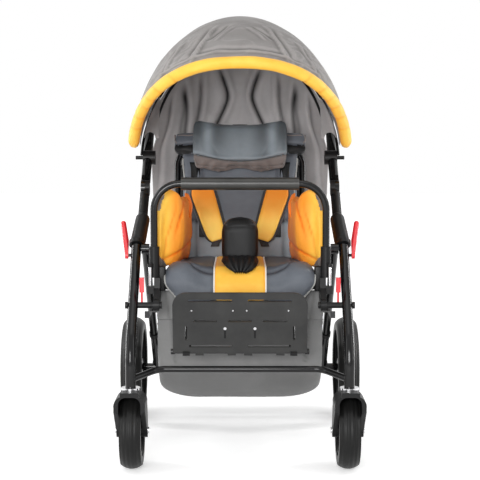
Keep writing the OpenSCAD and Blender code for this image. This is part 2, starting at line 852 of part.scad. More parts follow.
module rear_bow() {
  color(frame_black) arch_tube(rear_bow_w, rear_bow_h, rear_round, -rear_lean, 0, bow_d, 88.6, 30, 8);
}

// Cloth over the arches, from the rear edge to the front edge
module canopy_sheet(w, h, rise, round0, round1, lean0, lean1, rows) {
  face = function(u, v, t)
    let (
      a = -panel_edge + 2 * panel_edge * u,
      n = round0 + (round1 - round0) * v,
      r = arch_r(a, h + rise * v - t, n)
    )
    canopy_at(arch_x(a, w - t, n), r, lean0 + (lean1 - lean0) * v, 0);
  shell(26, rows, function(u, v) face(u, v, 0), function(u, v) face(u, v, cloth_t));
}

module canopy_rear_panel() {
  color(cloth_grey)
    canopy_sheet(rear_panel_w, rear_panel_h, 0, rear_round, rear_round, -rear_lean, panel_overlap, 5);
}

module canopy_front_panel() {
  color(cloth_grey) canopy_sheet(canopy_w, canopy_h, canopy_rise, rear_round, canopy_round,
    panel_overlap - 6, front_lean, 5);
}

module canopy_curtain() {
  drop = bow_d / 2 + hang_gap;
  face = function(u, v, t)
    let (
      x = curtain_half * (2 * u - 1),
      a = asin(min(1, pow(abs(x) / (rear_bow_w - drop), rear_round / 2))),
      top = canopy_at(x, arch_r(a, rear_bow_h - drop, rear_round), -rear_lean, 0),
      fold = 9 * sin(180 * curtain_folds * (2 * u - 1)) * smooth(3 * v) * smooth(8 * min(u, 1 - u))
    )
    [x * (1 - 0.04 * v), top[1] + (curtain_y - top[1]) * smooth(v) + fold + t,
      top[2] + (curtain_z - top[2]) * v];
  color(cloth_grey) shell(36, 7, function(u, v) face(u, v, cloth_t), function(u, v) face(u, v, 0));
}

module front_bow() {
  eye_d = pivot_pin_d + 10;
  bow_reach = acos(pow((eye_d / 2 + gap) / front_bow_h, canopy_round / 2));
  color(frame_black) {
    arch_tube(front_bow_w, front_bow_h, canopy_round, front_lean, -bow_d / 2 - 1, bow_d, bow_reach, 30, 8);
    both_sides() difference() {
      bar_x(front_bow_w - bow_d / 2, front_bow_w + bow_d / 2, hub_y, hub_z, eye_d);
      bar_x(0, canopy_w, hub_y, hub_z, pivot_pin_d + 2 * run_gap);
    }
  }
}

module canopy_rim() {
  color(orange)
    arch_tube(canopy_w - 1, front_h, canopy_round, front_lean, rim_d / 2 + gap, rim_d, rim_reach, 28, 12);
}

// Seat

module seat_frame() {
  hinge = [back_y, back_z];
  color(frame_black) difference() {
    union() {
      bent_tube([
        [rail_x, seat_rear_y, seat_rear_z], [rail_x, seat_front_y, seat_front_z],
        [-rail_x, seat_front_y, seat_front_z], [-rail_x, seat_rear_y, seat_rear_z]
      ], rail_d, rail_r);
      both_sides() {
        plate_x(bracket_in, bracket_out) {
          polygon([
            [tilt_y - 11, tilt_z + 3], [tilt_y + 3, tilt_z - 12], [seat_front_y + 62, seat_front_z - 14],
            [seat_front_y + 62, seat_front_z + 6], [bumper_y + socket_d / 2 + 4, seat_front_z + 6],
            [bumper_y + socket_d / 2 + 4, socket_z - gap], [bumper_y - socket_d / 2, socket_z - gap],
            [bumper_y - socket_d / 2 - 6, seat_front_z], [tilt_y - 6, tilt_z + 11]
          ]);
          translate([tilt_y, tilt_z]) circle(d = 30);
        }
        plate_x(lug_x, lug_x + lug_t) {
          translate(hinge) circle(d = 26);
          polygon([
            [back_y - 11, back_z + 1], [back_y + 11, back_z + 1], [back_y + 3, seat_rear_z],
            [back_y - 30, seat_rear_z + 2]
          ]);
        }
      }
    }
    both_sides() {
      bar_x(bracket_in - 3, bracket_out + 3, tilt_y, tilt_z, tilt_bolt_d + 2 * run_gap);
      bar_x(lug_x - 1, lug_x + lug_t + 1, back_y, back_z, back_pin_d + 2 * run_gap);
    }
  }
}

module in_seat() translate([0, seat_front_y, seat_front_z]) rotate([-seat_slope, 0, 0]) children();

module seat_board() {
  half = rail_x - rail_d / 2 - gap;
  depth = seat_rear_y - seat_front_y - 30;
  color(plastic_black) difference() {
    in_seat() translate([-half, rail_d / 2 + gap, -board_t / 2]) difference() {
      cube([2 * half, depth, board_t]);
      for (x = [0, 2 * half]) translate([x, 0, -1])
        cylinder(r = rail_r - rail_d / 2 + 1, h = board_t + 2);
    }
    translate([-stem_w / 2 - gap, pommel_y - stem_t / 2 - gap, seat_front_z - 60])
      cube([stem_w + 2 * gap, stem_t + 2 * gap, 120]);
  }
}

// The seat's side line: level part, rounded front edge, then the lip
seat_start = [seat_back_y, seat_top_z(seat_back_y)];
seat_end = [seat_front_y + 10, seat_top_z(seat_front_y + 10)];
seat_run = norm(seat_end - seat_start);
seat_dir = (seat_end - seat_start) / seat_run;
lip_arc = lip_r * PI / 2;
seat_path = seat_run + lip_arc + lip_l;

function seat_line(d) =
  let (up = [seat_dir[1], -seat_dir[0]])
  d < seat_run ? [seat_start + seat_dir * d, up] :
  let (a = min(90, (d - seat_run) / lip_r * 180 / PI), n = up * cos(a) + seat_dir * sin(a))
  [seat_end - up * lip_r + n * lip_r - up * max(0, d - seat_run - lip_arc), n];

module seat_cushion() {
  full = function(y) seat_t + seat_wedge * (y - seat_front_y) / (seat_rear_y - seat_front_y);
  thick = function(d) d < seat_run
    ? let (t = full(seat_line(d)[0][0])) t + (arc_t - t) * smooth((d - seat_run + 45) / 45)
    : arc_t + (lip_t - arc_t) * smooth((d - seat_run) / lip_arc);
  face = function(u, v, top)
    let (
      d = seat_path * v,
      at = seat_line(d),
      edge = abs(2 * u - 1),
      lip = smooth((d - seat_run - lip_arc / 2) / (lip_arc / 2 + lip_l)),
      half = seat_w / 2 * (1 - 0.012 * sin(180 * min(1, d / seat_run)) - 0.17 * lip * lip),
      x = half * (2 * u - 1),
      crown = seat_crown * (1 - pow(edge, 4)) * smooth(d / 40)
        - 3.5 * bump(abs(x), stripe_w / 2, 6) - 2.5 * bump(abs(x), 138, 6),
      n = top ? crown - 6 * pow(edge, 10) : -thick(d)
    )
    [x, at[0][0] + at[1][0] * n, at[0][1] + at[1][1] * n];
  color(slate) difference() {
    shell(24, 14, function(u, v) face(u, v, true), function(u, v) face(u, v, false));
    translate([-stem_w / 2 - gap, pommel_y - stem_t / 2 - gap, seat_front_z - 20])
      cube([stem_w + 2 * gap, stem_t + 2 * gap, 120]);
    both_sides() translate([lug_x - 1, back_y - 31.5, seat_rear_z - 20]) cube([lug_t + 30, 60, 120]);
  }
}

module bumper_sockets() {
  color(plastic_black) both_sides() translate([bumper_x, bumper_y, socket_z]) difference() {
    cylinder(d = socket_d, h = socket_top - socket_z);
    translate([0, 0, socket_floor]) cylinder(d = bumper_d + 2 * run_gap, h = socket_top - socket_z);
  }
}

module bumper_bar() {
  low = socket_z + socket_floor + gap;
  color(frame_black) bent_tube([
    [bumper_x, bumper_y, low], [bumper_x, bumper_y, bumper_z],
    [-bumper_x, bumper_y, bumper_z], [-bumper_x, bumper_y, low]
  ], bumper_d, bumper_r);
}

module bumper_foam() {
  color(rubber_black) difference() {
    bar_x(-foam_l / 2, foam_l / 2, bumper_y, bumper_z, foam_d);
    bar_x(-foam_l, foam_l, bumper_y, bumper_z, bumper_d + 2 * run_gap);
  }
}

module side_panel(s) {
  front = [bumper_x - 12, bumper_y + socket_d / 2 + 8];
  rear = [post_x - 24, back_y - 37];
  pad_t = 12;
  face = function(u, v, t)
    let (
      way = unit(rear - front),
      n = [-way[1], way[0]],
      low = seat_top_z(front[1] + (rear[1] - front[1]) * u) + panel_seat,
      high = panel_top + 14 * u,
      puff = (t > 0 ? 1 : -1) * pad_t / 2 * (0.35 + 0.65 * sin(180 * v) * sin(180 * min(1, max(0, u)))),
      fold = 5 * sin(540 * u + 120 * v) * sin(180 * v),
      lean = 10 * v,
      p = front + (rear - front) * u + n * (puff + fold)
    )
    [p[0] - lean, p[1], low + (high - low) * v];
  on_side(s) color(orange) shell(12, 6, function(u, v) face(u, v, 1), function(u, v) face(u, v, -1));
}

module tilt_rods() {
  rod_d = 8;
  block_y = tilt_y + 24;
  block_z = seat_front_z - 14;
  color(chrome_grey) both_sides() {
    translate([bracket_out + gap, block_y, block_z]) cube([16, 14, 20]);
    translate([bracket_out + gap + 9, block_y + 7, block_z + 20]) cylinder(d = rod_d, h = 46);
    translate([bracket_out + gap + 9, block_y + 7, block_z + 66]) cylinder(d = rod_d + 6, h = 8);
  }
}

module footrest_hanger() {
  knob_d = 14;
  top = seat_front_z - rail_d / 2 - gap;
  color(frame_black) {
    for (m = [0, 1]) mirror([m, 0, 0]) {
      bent_tube([[hanger_x, seat_front_y, top], [hanger_x, seat_front_y, top - 40],
        [hanger_x, hinge_y, hinge_z]], hanger_d, 30);
      bar_x(plate_w / 2 - 4, plate_w / 2 + 6, hinge_y, hinge_z, knob_d);
    }
    bar_x(-plate_w / 2, plate_w / 2, hinge_y, hinge_z, hinge_d);
  }
}

module slot(length) {
  square([length - slot_w, slot_w], center = true);
  for (x = [slot_w - length, length - slot_w]) translate([x / 2, 0]) circle(d = slot_w);
}

module footplate_outline() {
  corner = 34;
  difference() {
    union() {
      translate([-plate_w / 2, plate_low]) square([plate_w, plate_l - plate_low - corner]);
      translate([corner - plate_w / 2, plate_low]) square([plate_w - 2 * corner, plate_l - plate_low]);
      for (x = [corner - plate_w / 2, plate_w / 2 - corner])
        translate([x, plate_l - corner]) circle(r = corner);
    }
    for (x = [-0.22, 0.22]) {
      translate([x * plate_w, plate_l - 20]) slot(106);
      translate([x * plate_w, plate_low + 18]) slot(104);
      translate([x * 1.82 * plate_w, plate_low + 52]) rotate(90) slot(36);
    }
    for (x = [-0.26, 0, 0.26]) translate([x * plate_w, plate_l - 72]) slot(58);
  }
}

module footplate() {
  lugs = [-hanger_x + 30, -20, 20, hanger_x - 30];
  color([0.3, 0.3, 0.3]) translate([0, hinge_y, hinge_z]) rotate([plate_lean, 0, 0]) difference() {
    union() {
      translate([0, plate_t / 2 - plate_off, 0]) rotate([90, 0, 0]) linear_extrude(plate_t)
        footplate_outline();
      for (x = lugs) bar_x(x - 10, x + 10, 0, 0, lug_d);
    }
    bar_x(-plate_w, plate_w, 0, 0, hinge_d + 2 * run_gap);
  }
}

// Pommel

module pommel_stem() {
  low = seat_front_z - 40;
  color(frame_black) translate([-stem_w / 2, pommel_y - stem_t / 2, low])
    cube([stem_w, stem_t, pommel_base - gap - low]);
}

pommel_base = seat_top_z(pommel_y) + seat_crown + 2;

module pommel() {
  rows = 11;
  sides = 18;
  power = 2 / 3;
  ring = function(k)
    let (
      v = k / rows,
      swell = 0.78 + 0.22 * smooth(5 * v),
      close = sqrt(max(0.04, 1 - pow(max(0, (v - 0.66) / 0.34), 2.5))),
      z = pommel_base + pommel_h * v
    )
    [for (j = [0 : sides - 1])
      let (
        p = 360 * j / sides,
        tuck = 1 - 0.06 * (1 - smooth(3 * v)) * (1 + cos(8 * p)) / 2,
        cx = sign(cos(p)) * pow(abs(cos(p)), power),
        cy = sign(sin(p)) * pow(abs(sin(p)), power)
      )
      [pommel_w / 2 * cx * swell * close * tuck,
        pommel_y + pommel_depth / 2 * cy * swell * close * tuck, z]];
  top = rows * sides;
  faces = concat(
    [for (k = [0 : rows - 1]) for (j = [0 : sides - 1])
      let (n = (j + 1) % sides, a = k * sides, b = a + sides)
      each [[a + j, b + n, a + n], [a + j, b + j, b + n]]],
    [for (j = [1 : sides - 2]) [0, j, j + 1]],
    [for (j = [1 : sides - 2]) [top, top + j + 1, top + j]]
  );
  color(plastic_black) polyhedron([for (k = [0 : rows]) each ring(k)], faces);
}

// Back, harness and headrest

module in_back() translate([0, back_y, back_z]) rotate([-back_lean, 0, 0]) children();

module back_frame() {
  color(frame_black) in_back() {
    bent_tube([[post_x, 0, 0], [post_x, 0, post_l], [-post_x, 0, post_l], [-post_x, 0, 0]], post_d, 50);
    both_sides() {
      bar_x(post_x - post_d / 2, post_x + post_d / 2, 0, 0, post_collar_d);
      bar_x(post_x, lug_x + lug_t + 2, 0, 0, back_pin_d);
    }
  }
}

module back_board() {
  half = post_x - post_d / 2 - gap;
  corner = 50;
  color(plastic_black) in_back() translate([0, post_d / 2 - 3, 0]) rotate([90, 0, 0])
    linear_extrude(post_d / 2 - 3 + board_n) {
      translate([-half, 30]) square([2 * half, post_l - corner - 30]);
      translate([corner - half, 30]) square([2 * half - 2 * corner, post_l - post_d / 2 - gap - 30]);
    }
}

module back_cushion() {
  low = 32;
  rise = back_l - low;
  face = function(u, v, front)
    let (
      w = low + rise * v,
      edge = abs(2 * u - 1),
      wide = back_w / 2 + (shoulder_w - back_w) / 2 * smooth((w - shoulder_z) / shoulder_fade),
      round_top = 1 - 0.06 * pow(max(0, (w - back_l + 40) / 40), 2),
      x = wide * round_top * (1 - 0.012 * sin(180 * v)) * (2 * u - 1),
      crown = back_crown * (1 - pow(edge, 3)) * sin(180 * min(1, 0.1 + 0.85 * v))
        - 3 * bump(w, 300, 7) - 2 * bump(abs(x), 112, 6),
      n = front ? cushion_n + back_t - 8 * pow(edge, 8) - 8 * pow(abs(2 * v - 1), 10) + crown : cushion_n
    )
    back_at(x, w, n);
  color(slate) shell(18, 14, function(u, v) face(u, v, true), function(u, v) face(u, v, false));
}

module harness_pads() {
  face = function(u, v, front)
    let (
      c = harness_high + (harness_low - harness_high) * v,
      way = unit(harness_low - harness_high),
      side = [way[1], -way[0]] * -1,
      edge = 2 * u - 1,
      end = 1 - 0.35 * pow(abs(2 * v - 1), 6),
      p = c + side * harness_w / 2 * edge * end,
      n = pad_n + (front ? harness_t * (0.45 + 0.55 * sqrt(max(0, 1 - pow(edge, 4)))) : 0)
    )
    back_at(p[0], p[1], n);
  color(orange) both_sides()
    shell(4, 10, function(u, v) face(u, v, true), function(u, v) face(u, v, false));
}

module harness_webbing() {
  color(rubber_black) in_back() both_sides()
    translate([web_x, -strap_n - web_t, web_low]) cube([web_w, web_t, web_l]);
}

module headrest_pad() {
  face = function(u, v, front)
    let (
      edge = 2 * u - 1,
      w = head_low + head_l * v + 6 * (1 - edge * edge) * (0.5 - v) * -1 - 4 * (1 - edge * edge) * v,
      bend = head_wrap * edge * edge,
      puff = head_t * (0.5 + 0.5 * sqrt(max(0, 1 - pow(abs(2 * v - 1), 3.5)))),
      x = head_w / 2 * edge * (1 - 0.03 * pow(abs(2 * v - 1), 3)),
      n = head_n + bend + (front ? puff : 0)
    )
    back_at(x, w, n);
  color(slate) shell(14, 8, function(u, v) face(u, v, true), function(u, v) face(u, v, false));
}

module headrest_stem() {
  bar_half = 20;
  bar_t = 6;
  rear = post_d / 2 + gap;
  color(frame_black) in_back() {
    translate([-bar_half, rear, stem_low]) cube([2 * bar_half, bar_t, arm_low + arm_t - stem_low]);
    translate([-bar_half, gap - head_n, arm_low]) cube([2 * bar_half, head_n + rear, arm_t]);
  }
}

// Levers

module fold_lever(s) {
  eye_d = 18;
  lean = 8;
  up = unit(leg_pts[2] - leg_pts[1]);
  tip = [lever_x + lever_t / 2 + 100 * sin(lean), lever_y + 100 * up[1], lever_z + 100 * up[2]];
  mid = [lever_x + lever_t / 2 + 2, lever_y + 45 * up[1], lever_z + 45 * up[2]];
  on_side(s) color(red) difference() {
    hull() {
      bar_x(lever_x, lever_x + lever_t, lever_y, lever_z, eye_d);
      translate(mid) sphere(d = 10, $fn = 24);
      translate(tip) sphere(d = 14, $fn = 24);
    }
    bar_x(lever_x - 1, lever_x + lever_t + 30, lever_y, lever_z, lever_pin_d + 2 * run_gap);
  }
}

module tilt_pull(s) {
  block = [11, 15, 36];
  x = leg_in - block[0] - 4;
  foot = tilt_z + tilt_bush_d / 2 + gap;
  on_side(s) color(red) {
    translate([x + block[0] / 2, tilt_y, foot]) cylinder(d = 5, h = 24);
    translate([x, tilt_y - block[1] / 2, foot + 24]) cube(block);
  }
}

place() front_leg(-1);  // front_leg_left
place() front_leg(1);  // front_leg_right
place() front_cross_tube();
place() head_washers();
place() knuckles();
place() lower_uprights();
place() tilt_bushes();
place() tilt_bolts();
place() basket();
place() rear_leg(-1);  // rear_leg_left
place() rear_leg(1);  // rear_leg_right
place() rear_axle();
place() rear_leg_collars();
place() brake_pedal();
place() rear_tyre(-1);  // rear_tyre_left
place() rear_rim(-1);  // rear_rim_left
place() rear_tyre(1);  // rear_tyre_right
place() rear_rim(1);  // rear_rim_right
place() caster_fork(-1);  // caster_fork_left
place() caster_axle(-1);  // caster_axle_left
place() caster_tyre(-1);  // caster_tyre_left
place() caster_hub(-1);  // caster_hub_left
place() caster_fork(1);  // caster_fork_right
place() caster_axle(1);  // caster_axle_right
place() caster_tyre(1);  // caster_tyre_right
place() caster_hub(1);  // caster_hub_right
place() push_handle();
place() handle_grip();
place() canopy_hubs();
place() rear_bow();
place() canopy_rear_panel();
place() canopy_curtain();
place() front_bow();
place() canopy_front_panel();
place() canopy_rim();
place() seat_frame();
place() seat_board();
place() seat_cushion();
place() bumper_sockets();
place() side_panel(-1);  // side_panel_left
place() side_panel(1);  // side_panel_right
place() tilt_rods();
place() footrest_hanger();
place() back_frame();
place() back_board();
place() back_cushion();
place() harness_pads();
place() harness_webbing();
place() headrest_pad();
place() headrest_stem();
place() bumper_bar();
place() bumper_foam();
place() pommel();
place() pommel_stem();
place() footplate();
place() fold_lever(-1);  // fold_lever_left
place() fold_lever(1);  // fold_lever_right
place() tilt_pull(-1);  // tilt_pull_left
place() tilt_pull(1);  // tilt_pull_right
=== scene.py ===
import json
from math import acos, asin, atan2, copysign, cos, degrees, exp, pi, radians, sin, sqrt
import bmesh
import bpy
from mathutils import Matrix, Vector, noise
from mathutils.bvhtree import BVHTree


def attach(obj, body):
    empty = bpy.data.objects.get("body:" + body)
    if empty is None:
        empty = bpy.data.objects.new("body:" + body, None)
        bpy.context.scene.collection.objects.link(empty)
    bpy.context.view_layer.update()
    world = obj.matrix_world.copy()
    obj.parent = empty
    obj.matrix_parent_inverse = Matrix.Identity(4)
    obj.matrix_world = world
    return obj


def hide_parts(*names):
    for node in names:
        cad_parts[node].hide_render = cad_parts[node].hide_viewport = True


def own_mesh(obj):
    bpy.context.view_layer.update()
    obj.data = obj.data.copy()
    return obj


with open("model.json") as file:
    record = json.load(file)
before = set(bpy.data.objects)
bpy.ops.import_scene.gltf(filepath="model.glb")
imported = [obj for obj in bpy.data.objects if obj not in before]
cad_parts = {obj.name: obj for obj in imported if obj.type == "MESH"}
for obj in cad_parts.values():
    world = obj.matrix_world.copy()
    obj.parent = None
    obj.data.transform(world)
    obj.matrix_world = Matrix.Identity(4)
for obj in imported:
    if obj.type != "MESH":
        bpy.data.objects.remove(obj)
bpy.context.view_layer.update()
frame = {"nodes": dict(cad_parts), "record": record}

nodes = frame["nodes"]
scene = bpy.context.scene
scene.view_settings.view_transform = "Standard"
print("frame loaded:", len(nodes), "nodes")

buggy = {"midY": 357.25}  # millimetres from the caster axis to the middle of the buggy
bothSides = ((-1, "Left"), (1, "Right"))


def at(x, y, z):
    return Vector((x / 1000, (y - buggy["midY"]) / 1000, z / 1000))


def buggyPlace(co):
    return co.x * 1000, co.y * 1000 + buggy["midY"], co.z * 1000


def ease(t):
    t = min(1.0, max(0.0, t))
    return t * t * (3 - 2 * t)


def hump(x, middle, wide):
    return exp(-((x - middle) / wide) ** 2)


def mix(a, b, share):
    return a + (b - a) * share


def wobble(x, y, z):
    return noise.noise(Vector((x, y, z)))


def leanedAt(piece, x, y, z, lean):
    a = radians(lean)
    return at(x, piece["y"] + y * cos(a) - z * sin(a), piece["z"] + y * sin(a) + z * cos(a))


def linked(name, data):
    made = bpy.data.objects.new(name, data)
    scene.collection.objects.link(made)
    return made


# camera at the photograph's place, straight in front and a little above the seat

camPlace = {"back": 3023, "high": 806, "tilt": 4.69, "lens": 96.25, "sensor": 36}
camData = bpy.data.cameras.new("photoCam")
camData.lens = camPlace["lens"]
camData.sensor_width = camPlace["sensor"]
photoCam = linked("photoCam", camData)
photoCam.location = at(0, -camPlace["back"], camPlace["high"])
photoCam.rotation_euler = (radians(90 - camPlace["tilt"]), 0, 0)
scene.camera = photoCam

# soft studio light: a wide front softbox that reaches in under the canopy, and weaker ones above and beside

studio = {
    "top": 15, "front": 100, "side": 9, "strip": 18, "sky": 0.3, "glowNear": 0.42, "glowFar": 1.0,
    "near": 0.7, "far": 3.4, "floor": 14,
}


def areaLamp(name, place, aim, size, power):
    data = bpy.data.lights.new(name, "AREA")
    data.shape = "RECTANGLE"
    data.size, data.size_y = size
    data.energy = power
    lamp = linked(name, data)
    lamp.location = place
    lamp.rotation_euler = (Vector(aim) - Vector(place)).to_track_quat("-Z", "Y").to_euler()


areaLamp("topSoftbox", (0, -0.9, 3.1), (0, 0, 0.6), (2.2, 2.0), studio["top"])
areaLamp("frontSoftbox", (-0.6, -3.9, 1.25), (0, 0, 0.7), (1.7, 1.2), studio["front"])
for side in (-1, 1):
    areaLamp("sideSoftbox", (side * 2.8, -1.4, 1.4), (0, 0, 0.6), (0.9, 2.0), studio["side"])
    areaLamp("stripLight", (side * 1.7, 0.5, 1.0), (side * 0.25, 0, 0.6), (0.14, 1.8), studio["strip"])


# shader nodes: a socket given as a value is linked, and _ stands for the space in a socket's name

def feed(tree, socket, value):
    if isinstance(value, bpy.types.NodeSocket):
        tree.links.new(value, socket)
    else:
        socket.default_value = value


def setUp(tree, node, **values):
    for key, value in values.items():
        name = key.replace("_", " ")
        if name in node.inputs:
            feed(tree, node.inputs[name], value)
        else:
            setattr(node, key, value)
    return node


def add(tree, kind, **values):
    return setUp(tree, tree.nodes.new(kind), **values)


def maths(tree, operation, *terms):
    node = add(tree, "ShaderNodeMath", operation=operation)
    for socket, term in zip(node.inputs, terms):
        feed(tree, socket, term)
    return node.outputs[0]


def blank(name, rough, metal=0.0):
    mat = bpy.data.materials.new(name)
    mat.use_nodes = True
    tree = mat.node_tree
    return mat, tree, setUp(tree, tree.nodes["Principled BSDF"], Roughness=rough, Metallic=metal)


def newObject(name, bm, mats):
    data = bpy.data.meshes.new(name)
    bm.to_mesh(data)
    bm.free()
    for mat in mats:
        data.materials.append(mat)
    return linked(name, data)


def seenStraight(tree):
    path = add(tree, "ShaderNodeLightPath")
    total = path.outputs["Is Camera Ray"]
    for ray in ("Is Glossy Ray", "Is Transmission Ray"):
        total = maths(tree, "MAXIMUM", total, path.outputs[ray])
    return total


world = bpy.data.worlds.new("paleRoom")
world.use_nodes = True
scene.world = world
sky = world.node_tree
level = add(sky, "ShaderNodeMapRange", Value=seenStraight(sky), To_Min=studio["sky"], To_Max=1.0)
setUp(sky, sky.nodes["Background"], Color=(1, 1, 1, 1), Strength=level.outputs["Result"])

# floor: its own glow rises with distance, so it meets the white room without an edge

floorMat, floorTree, floorShader = blank("paleFloor", 0.9)
floorPlace = add(floorTree, "ShaderNodeTexCoord").outputs["Object"]
away = add(floorTree, "ShaderNodeVectorMath", operation="LENGTH", Vector=floorPlace)
rise = add(floorTree, "ShaderNodeMapRange", Value=away.outputs["Value"], From_Min=studio["near"],
           From_Max=studio["far"], To_Min=studio["glowNear"], To_Max=studio["glowFar"])
glow = maths(floorTree, "MULTIPLY", seenStraight(floorTree), rise.outputs["Result"])
setUp(floorTree, floorShader, Base_Color=(0.92, 0.92, 0.92, 1), Specular_IOR_Level=0.1,
      Emission_Color=(1, 1, 1, 1), Emission_Strength=glow)
floorMesh = bmesh.new()
bmesh.ops.create_grid(floorMesh, x_segments=1, y_segments=1, size=studio["floor"])
floor = newObject("floor", floorMesh, [floorMat])
print("camera, lamps and floor ready")


# finishes

def shadeMix(tree, factor, low, high, span=(0.3, 0.7)):
    ramp = add(tree, "ShaderNodeValToRGB", Fac=factor)
    for stop, colour, place in zip(ramp.color_ramp.elements, (low, high), span):
        stop.color = (*colour, 1)
        stop.position = place
    return ramp.outputs["Color"]


def hardFinish(name, low, high, rough, grain, depth, metal=0.0, coat=0.0, spread=0.08, gloss=0.5):
    mat, tree, shader = blank(name, rough, metal)
    place = add(tree, "ShaderNodeTexCoord").outputs["Object"]
    broad = add(tree, "ShaderNodeTexNoise", Vector=place, Scale=14.0, Detail=4.0, Roughness=0.6)
    grit = add(tree, "ShaderNodeTexNoise", Vector=place, Scale=grain, Detail=3.0, Roughness=0.55)
    fine = grit.outputs["Fac"]
    least, most = max(0.03, rough - spread), min(1.0, rough + spread)
    sheen = add(tree, "ShaderNodeMapRange", Value=fine, To_Min=least, To_Max=most)
    bump = add(tree, "ShaderNodeBump", Strength=0.35, Distance=depth, Height=fine)
    colour = shadeMix(tree, broad.outputs["Fac"], low, high)
    setUp(
        tree, shader, Base_Color=colour, Roughness=sheen.outputs["Result"], Normal=bump.outputs["Normal"],
        Specular_IOR_Level=gloss, Coat_Weight=coat, Coat_Roughness=0.15)
    return mat


def clothFinish(name, low, high, thread, depth, rough=0.8, sheen=0.25, useUv=False, creases=0.0, tuck=0.0,
                gloss=0.4, paintedShadeTone=(0.02, 0.02, 0.02)):
    mat, tree, shader = blank(name, rough)
    place = add(tree, "ShaderNodeTexCoord").outputs
    yarns = []
    for way in ("X", "Y" if useUv else "Z"):
        yarn = add(
            tree, "ShaderNodeTexWave", Vector=place["UV" if useUv else "Object"], Scale=0.5 / thread,
            Distortion=0.6, Detail=1.0, bands_direction=way)
        yarns.append(yarn.outputs["Fac"])
    weave = maths(tree, "MULTIPLY", *yarns)
    broad = add(tree, "ShaderNodeTexNoise", Vector=place["Object"], Scale=9.0, Detail=5.0, Roughness=0.62)
    tone = maths(tree, "MULTIPLY_ADD", weave, 0.25, broad.outputs["Fac"])
    shown = shadeMix(tree, tone, low, high, (0.3, 0.85))
    # painted shade: a per-vertex attribute mixes the colour towards a dark shade tone and dulls the specular
    # level, standing in for shade in folds, seams, hollows and faces turned from the light
    if tuck:
        deep = add(tree, "ShaderNodeAttribute", attribute_name="tuck")
        share = maths(tree, "MULTIPLY", deep.outputs["Fac"], tuck)
        paintedShadeMix = add(tree, "ShaderNodeMix", data_type="RGBA", Factor=share)
        feed(tree, paintedShadeMix.inputs[6], shown)
        feed(tree, paintedShadeMix.inputs[7], (*paintedShadeTone, 1))
        shown = paintedShadeMix.outputs[2]
        gloss = add(tree, "ShaderNodeMapRange", Value=share, To_Min=gloss, To_Max=0.0).outputs["Result"]
    bump = add(tree, "ShaderNodeBump", Strength=0.4, Distance=depth, Height=weave)
    if creases:
        crumple = add(
            tree, "ShaderNodeTexNoise", noise_type="RIDGED_MULTIFRACTAL", Vector=place["Object"], Scale=13.0,
            Detail=2.0, Roughness=0.4, Distortion=0.5)
        fold = add(tree, "ShaderNodeBump", Strength=0.5, Distance=creases, Height=crumple.outputs["Fac"])
        feed(tree, bump.inputs["Normal"], fold.outputs["Normal"])
    setUp(
        tree, shader, Base_Color=shown, Normal=bump.outputs["Normal"], Sheen_Weight=sheen,
        Sheen_Roughness=0.45, Specular_IOR_Level=gloss)
    return mat


tubePaint = hardFinish(
    "tubePaint", (0.003, 0.003, 0.0032), (0.006, 0.006, 0.0065), 0.13, 420.0, 0.0001, gloss=0.3, spread=0.04)
mouldedBlack = hardFinish(
    "mouldedBlack", (0.005, 0.005, 0.0052), (0.01, 0.01, 0.0105), 0.4, 900.0, 0.0003, gloss=0.2)
brightPlate = hardFinish("brightPlate", (0.5, 0.5, 0.51), (0.7, 0.7, 0.71), 0.16, 300.0, 0.0001, metal=1.0)
foamSleeve = hardFinish(
    "foamSleeve", (0.018, 0.0175, 0.0163), (0.034, 0.033, 0.0305), 0.3, 1300.0, 0.0005, gloss=0.4)
tyreRubber = hardFinish(
    "tyreRubber", (0.006, 0.006, 0.006), (0.012, 0.012, 0.0115), 0.45, 500.0, 0.0005, gloss=0.2)
plateGrey = hardFinish(
    "plateGrey", (0.03, 0.03, 0.03), (0.046, 0.046, 0.045), 0.42, 1600.0, 0.0004, gloss=0.18)
redMoulding = hardFinish(
    "redMoulding", (0.66, 0.012, 0.022), (0.8, 0.022, 0.034), 0.3, 600.0, 0.0001, coat=0.3)

hungWeave = {"thread": 0.0011, "depth": 0.0003, "sheen": 0.05, "useUv": True}
seatWeave = {"thread": 0.0014, "depth": 0.0004, "sheen": 0.04}
orangeWeave = {"thread": 0.0012, "depth": 0.0003, "sheen": 0.05, "creases": 0.006, "tuck": 0.85}
canopyCloth = clothFinish(
    "canopyCloth", (0.25, 0.234, 0.226), (0.385, 0.365, 0.355), **hungWeave, rough=0.5, creases=0.012,
    tuck=0.85, gloss=0.35)
# a lighter copy of the canopy cloth for the curtain: painted light inside the shaded canopy
curtainCloth = clothFinish(
    "curtainCloth", (0.33, 0.315, 0.317), (0.48, 0.462, 0.464), **hungWeave, rough=0.55, creases=0.006,
    tuck=0.9, gloss=0.3)
# the slate's shade tone is a dark purple, for the painted shade on seat and back
slateCloth = clothFinish(
    "slateCloth", (0.072, 0.082, 0.1), (0.137, 0.152, 0.176), **seatWeave, rough=0.4, tuck=0.85, gloss=0.35,
    paintedShadeTone=(0.02, 0.015, 0.019))
# a lighter slate for the headrest, also laid on the back below the waist seam as a painted lighter copy of
# the slate, where that part sits in shade
headCloth = clothFinish(
    "headCloth", (0.17, 0.2, 0.226), (0.27, 0.31, 0.342), **seatWeave, rough=0.36, tuck=0.9)
orangeCloth = clothFinish(
    "orangeCloth", (0.98, 0.42, 0.03), (1.0, 0.66, 0.1), **orangeWeave, rough=0.5, gloss=0.3,
    paintedShadeTone=(0.85, 0.13, 0.005))
# a lighter, yellower copy of the orange cloth for the shoulder pads: painted light making up for the shade
# they sit in under the bumper
padCloth = clothFinish(
    "padCloth", (1.0, 0.54, 0.06), (1.0, 0.78, 0.16), **orangeWeave, rough=0.45, paintedShadeTone=(0.98, 0.2, 0.008))
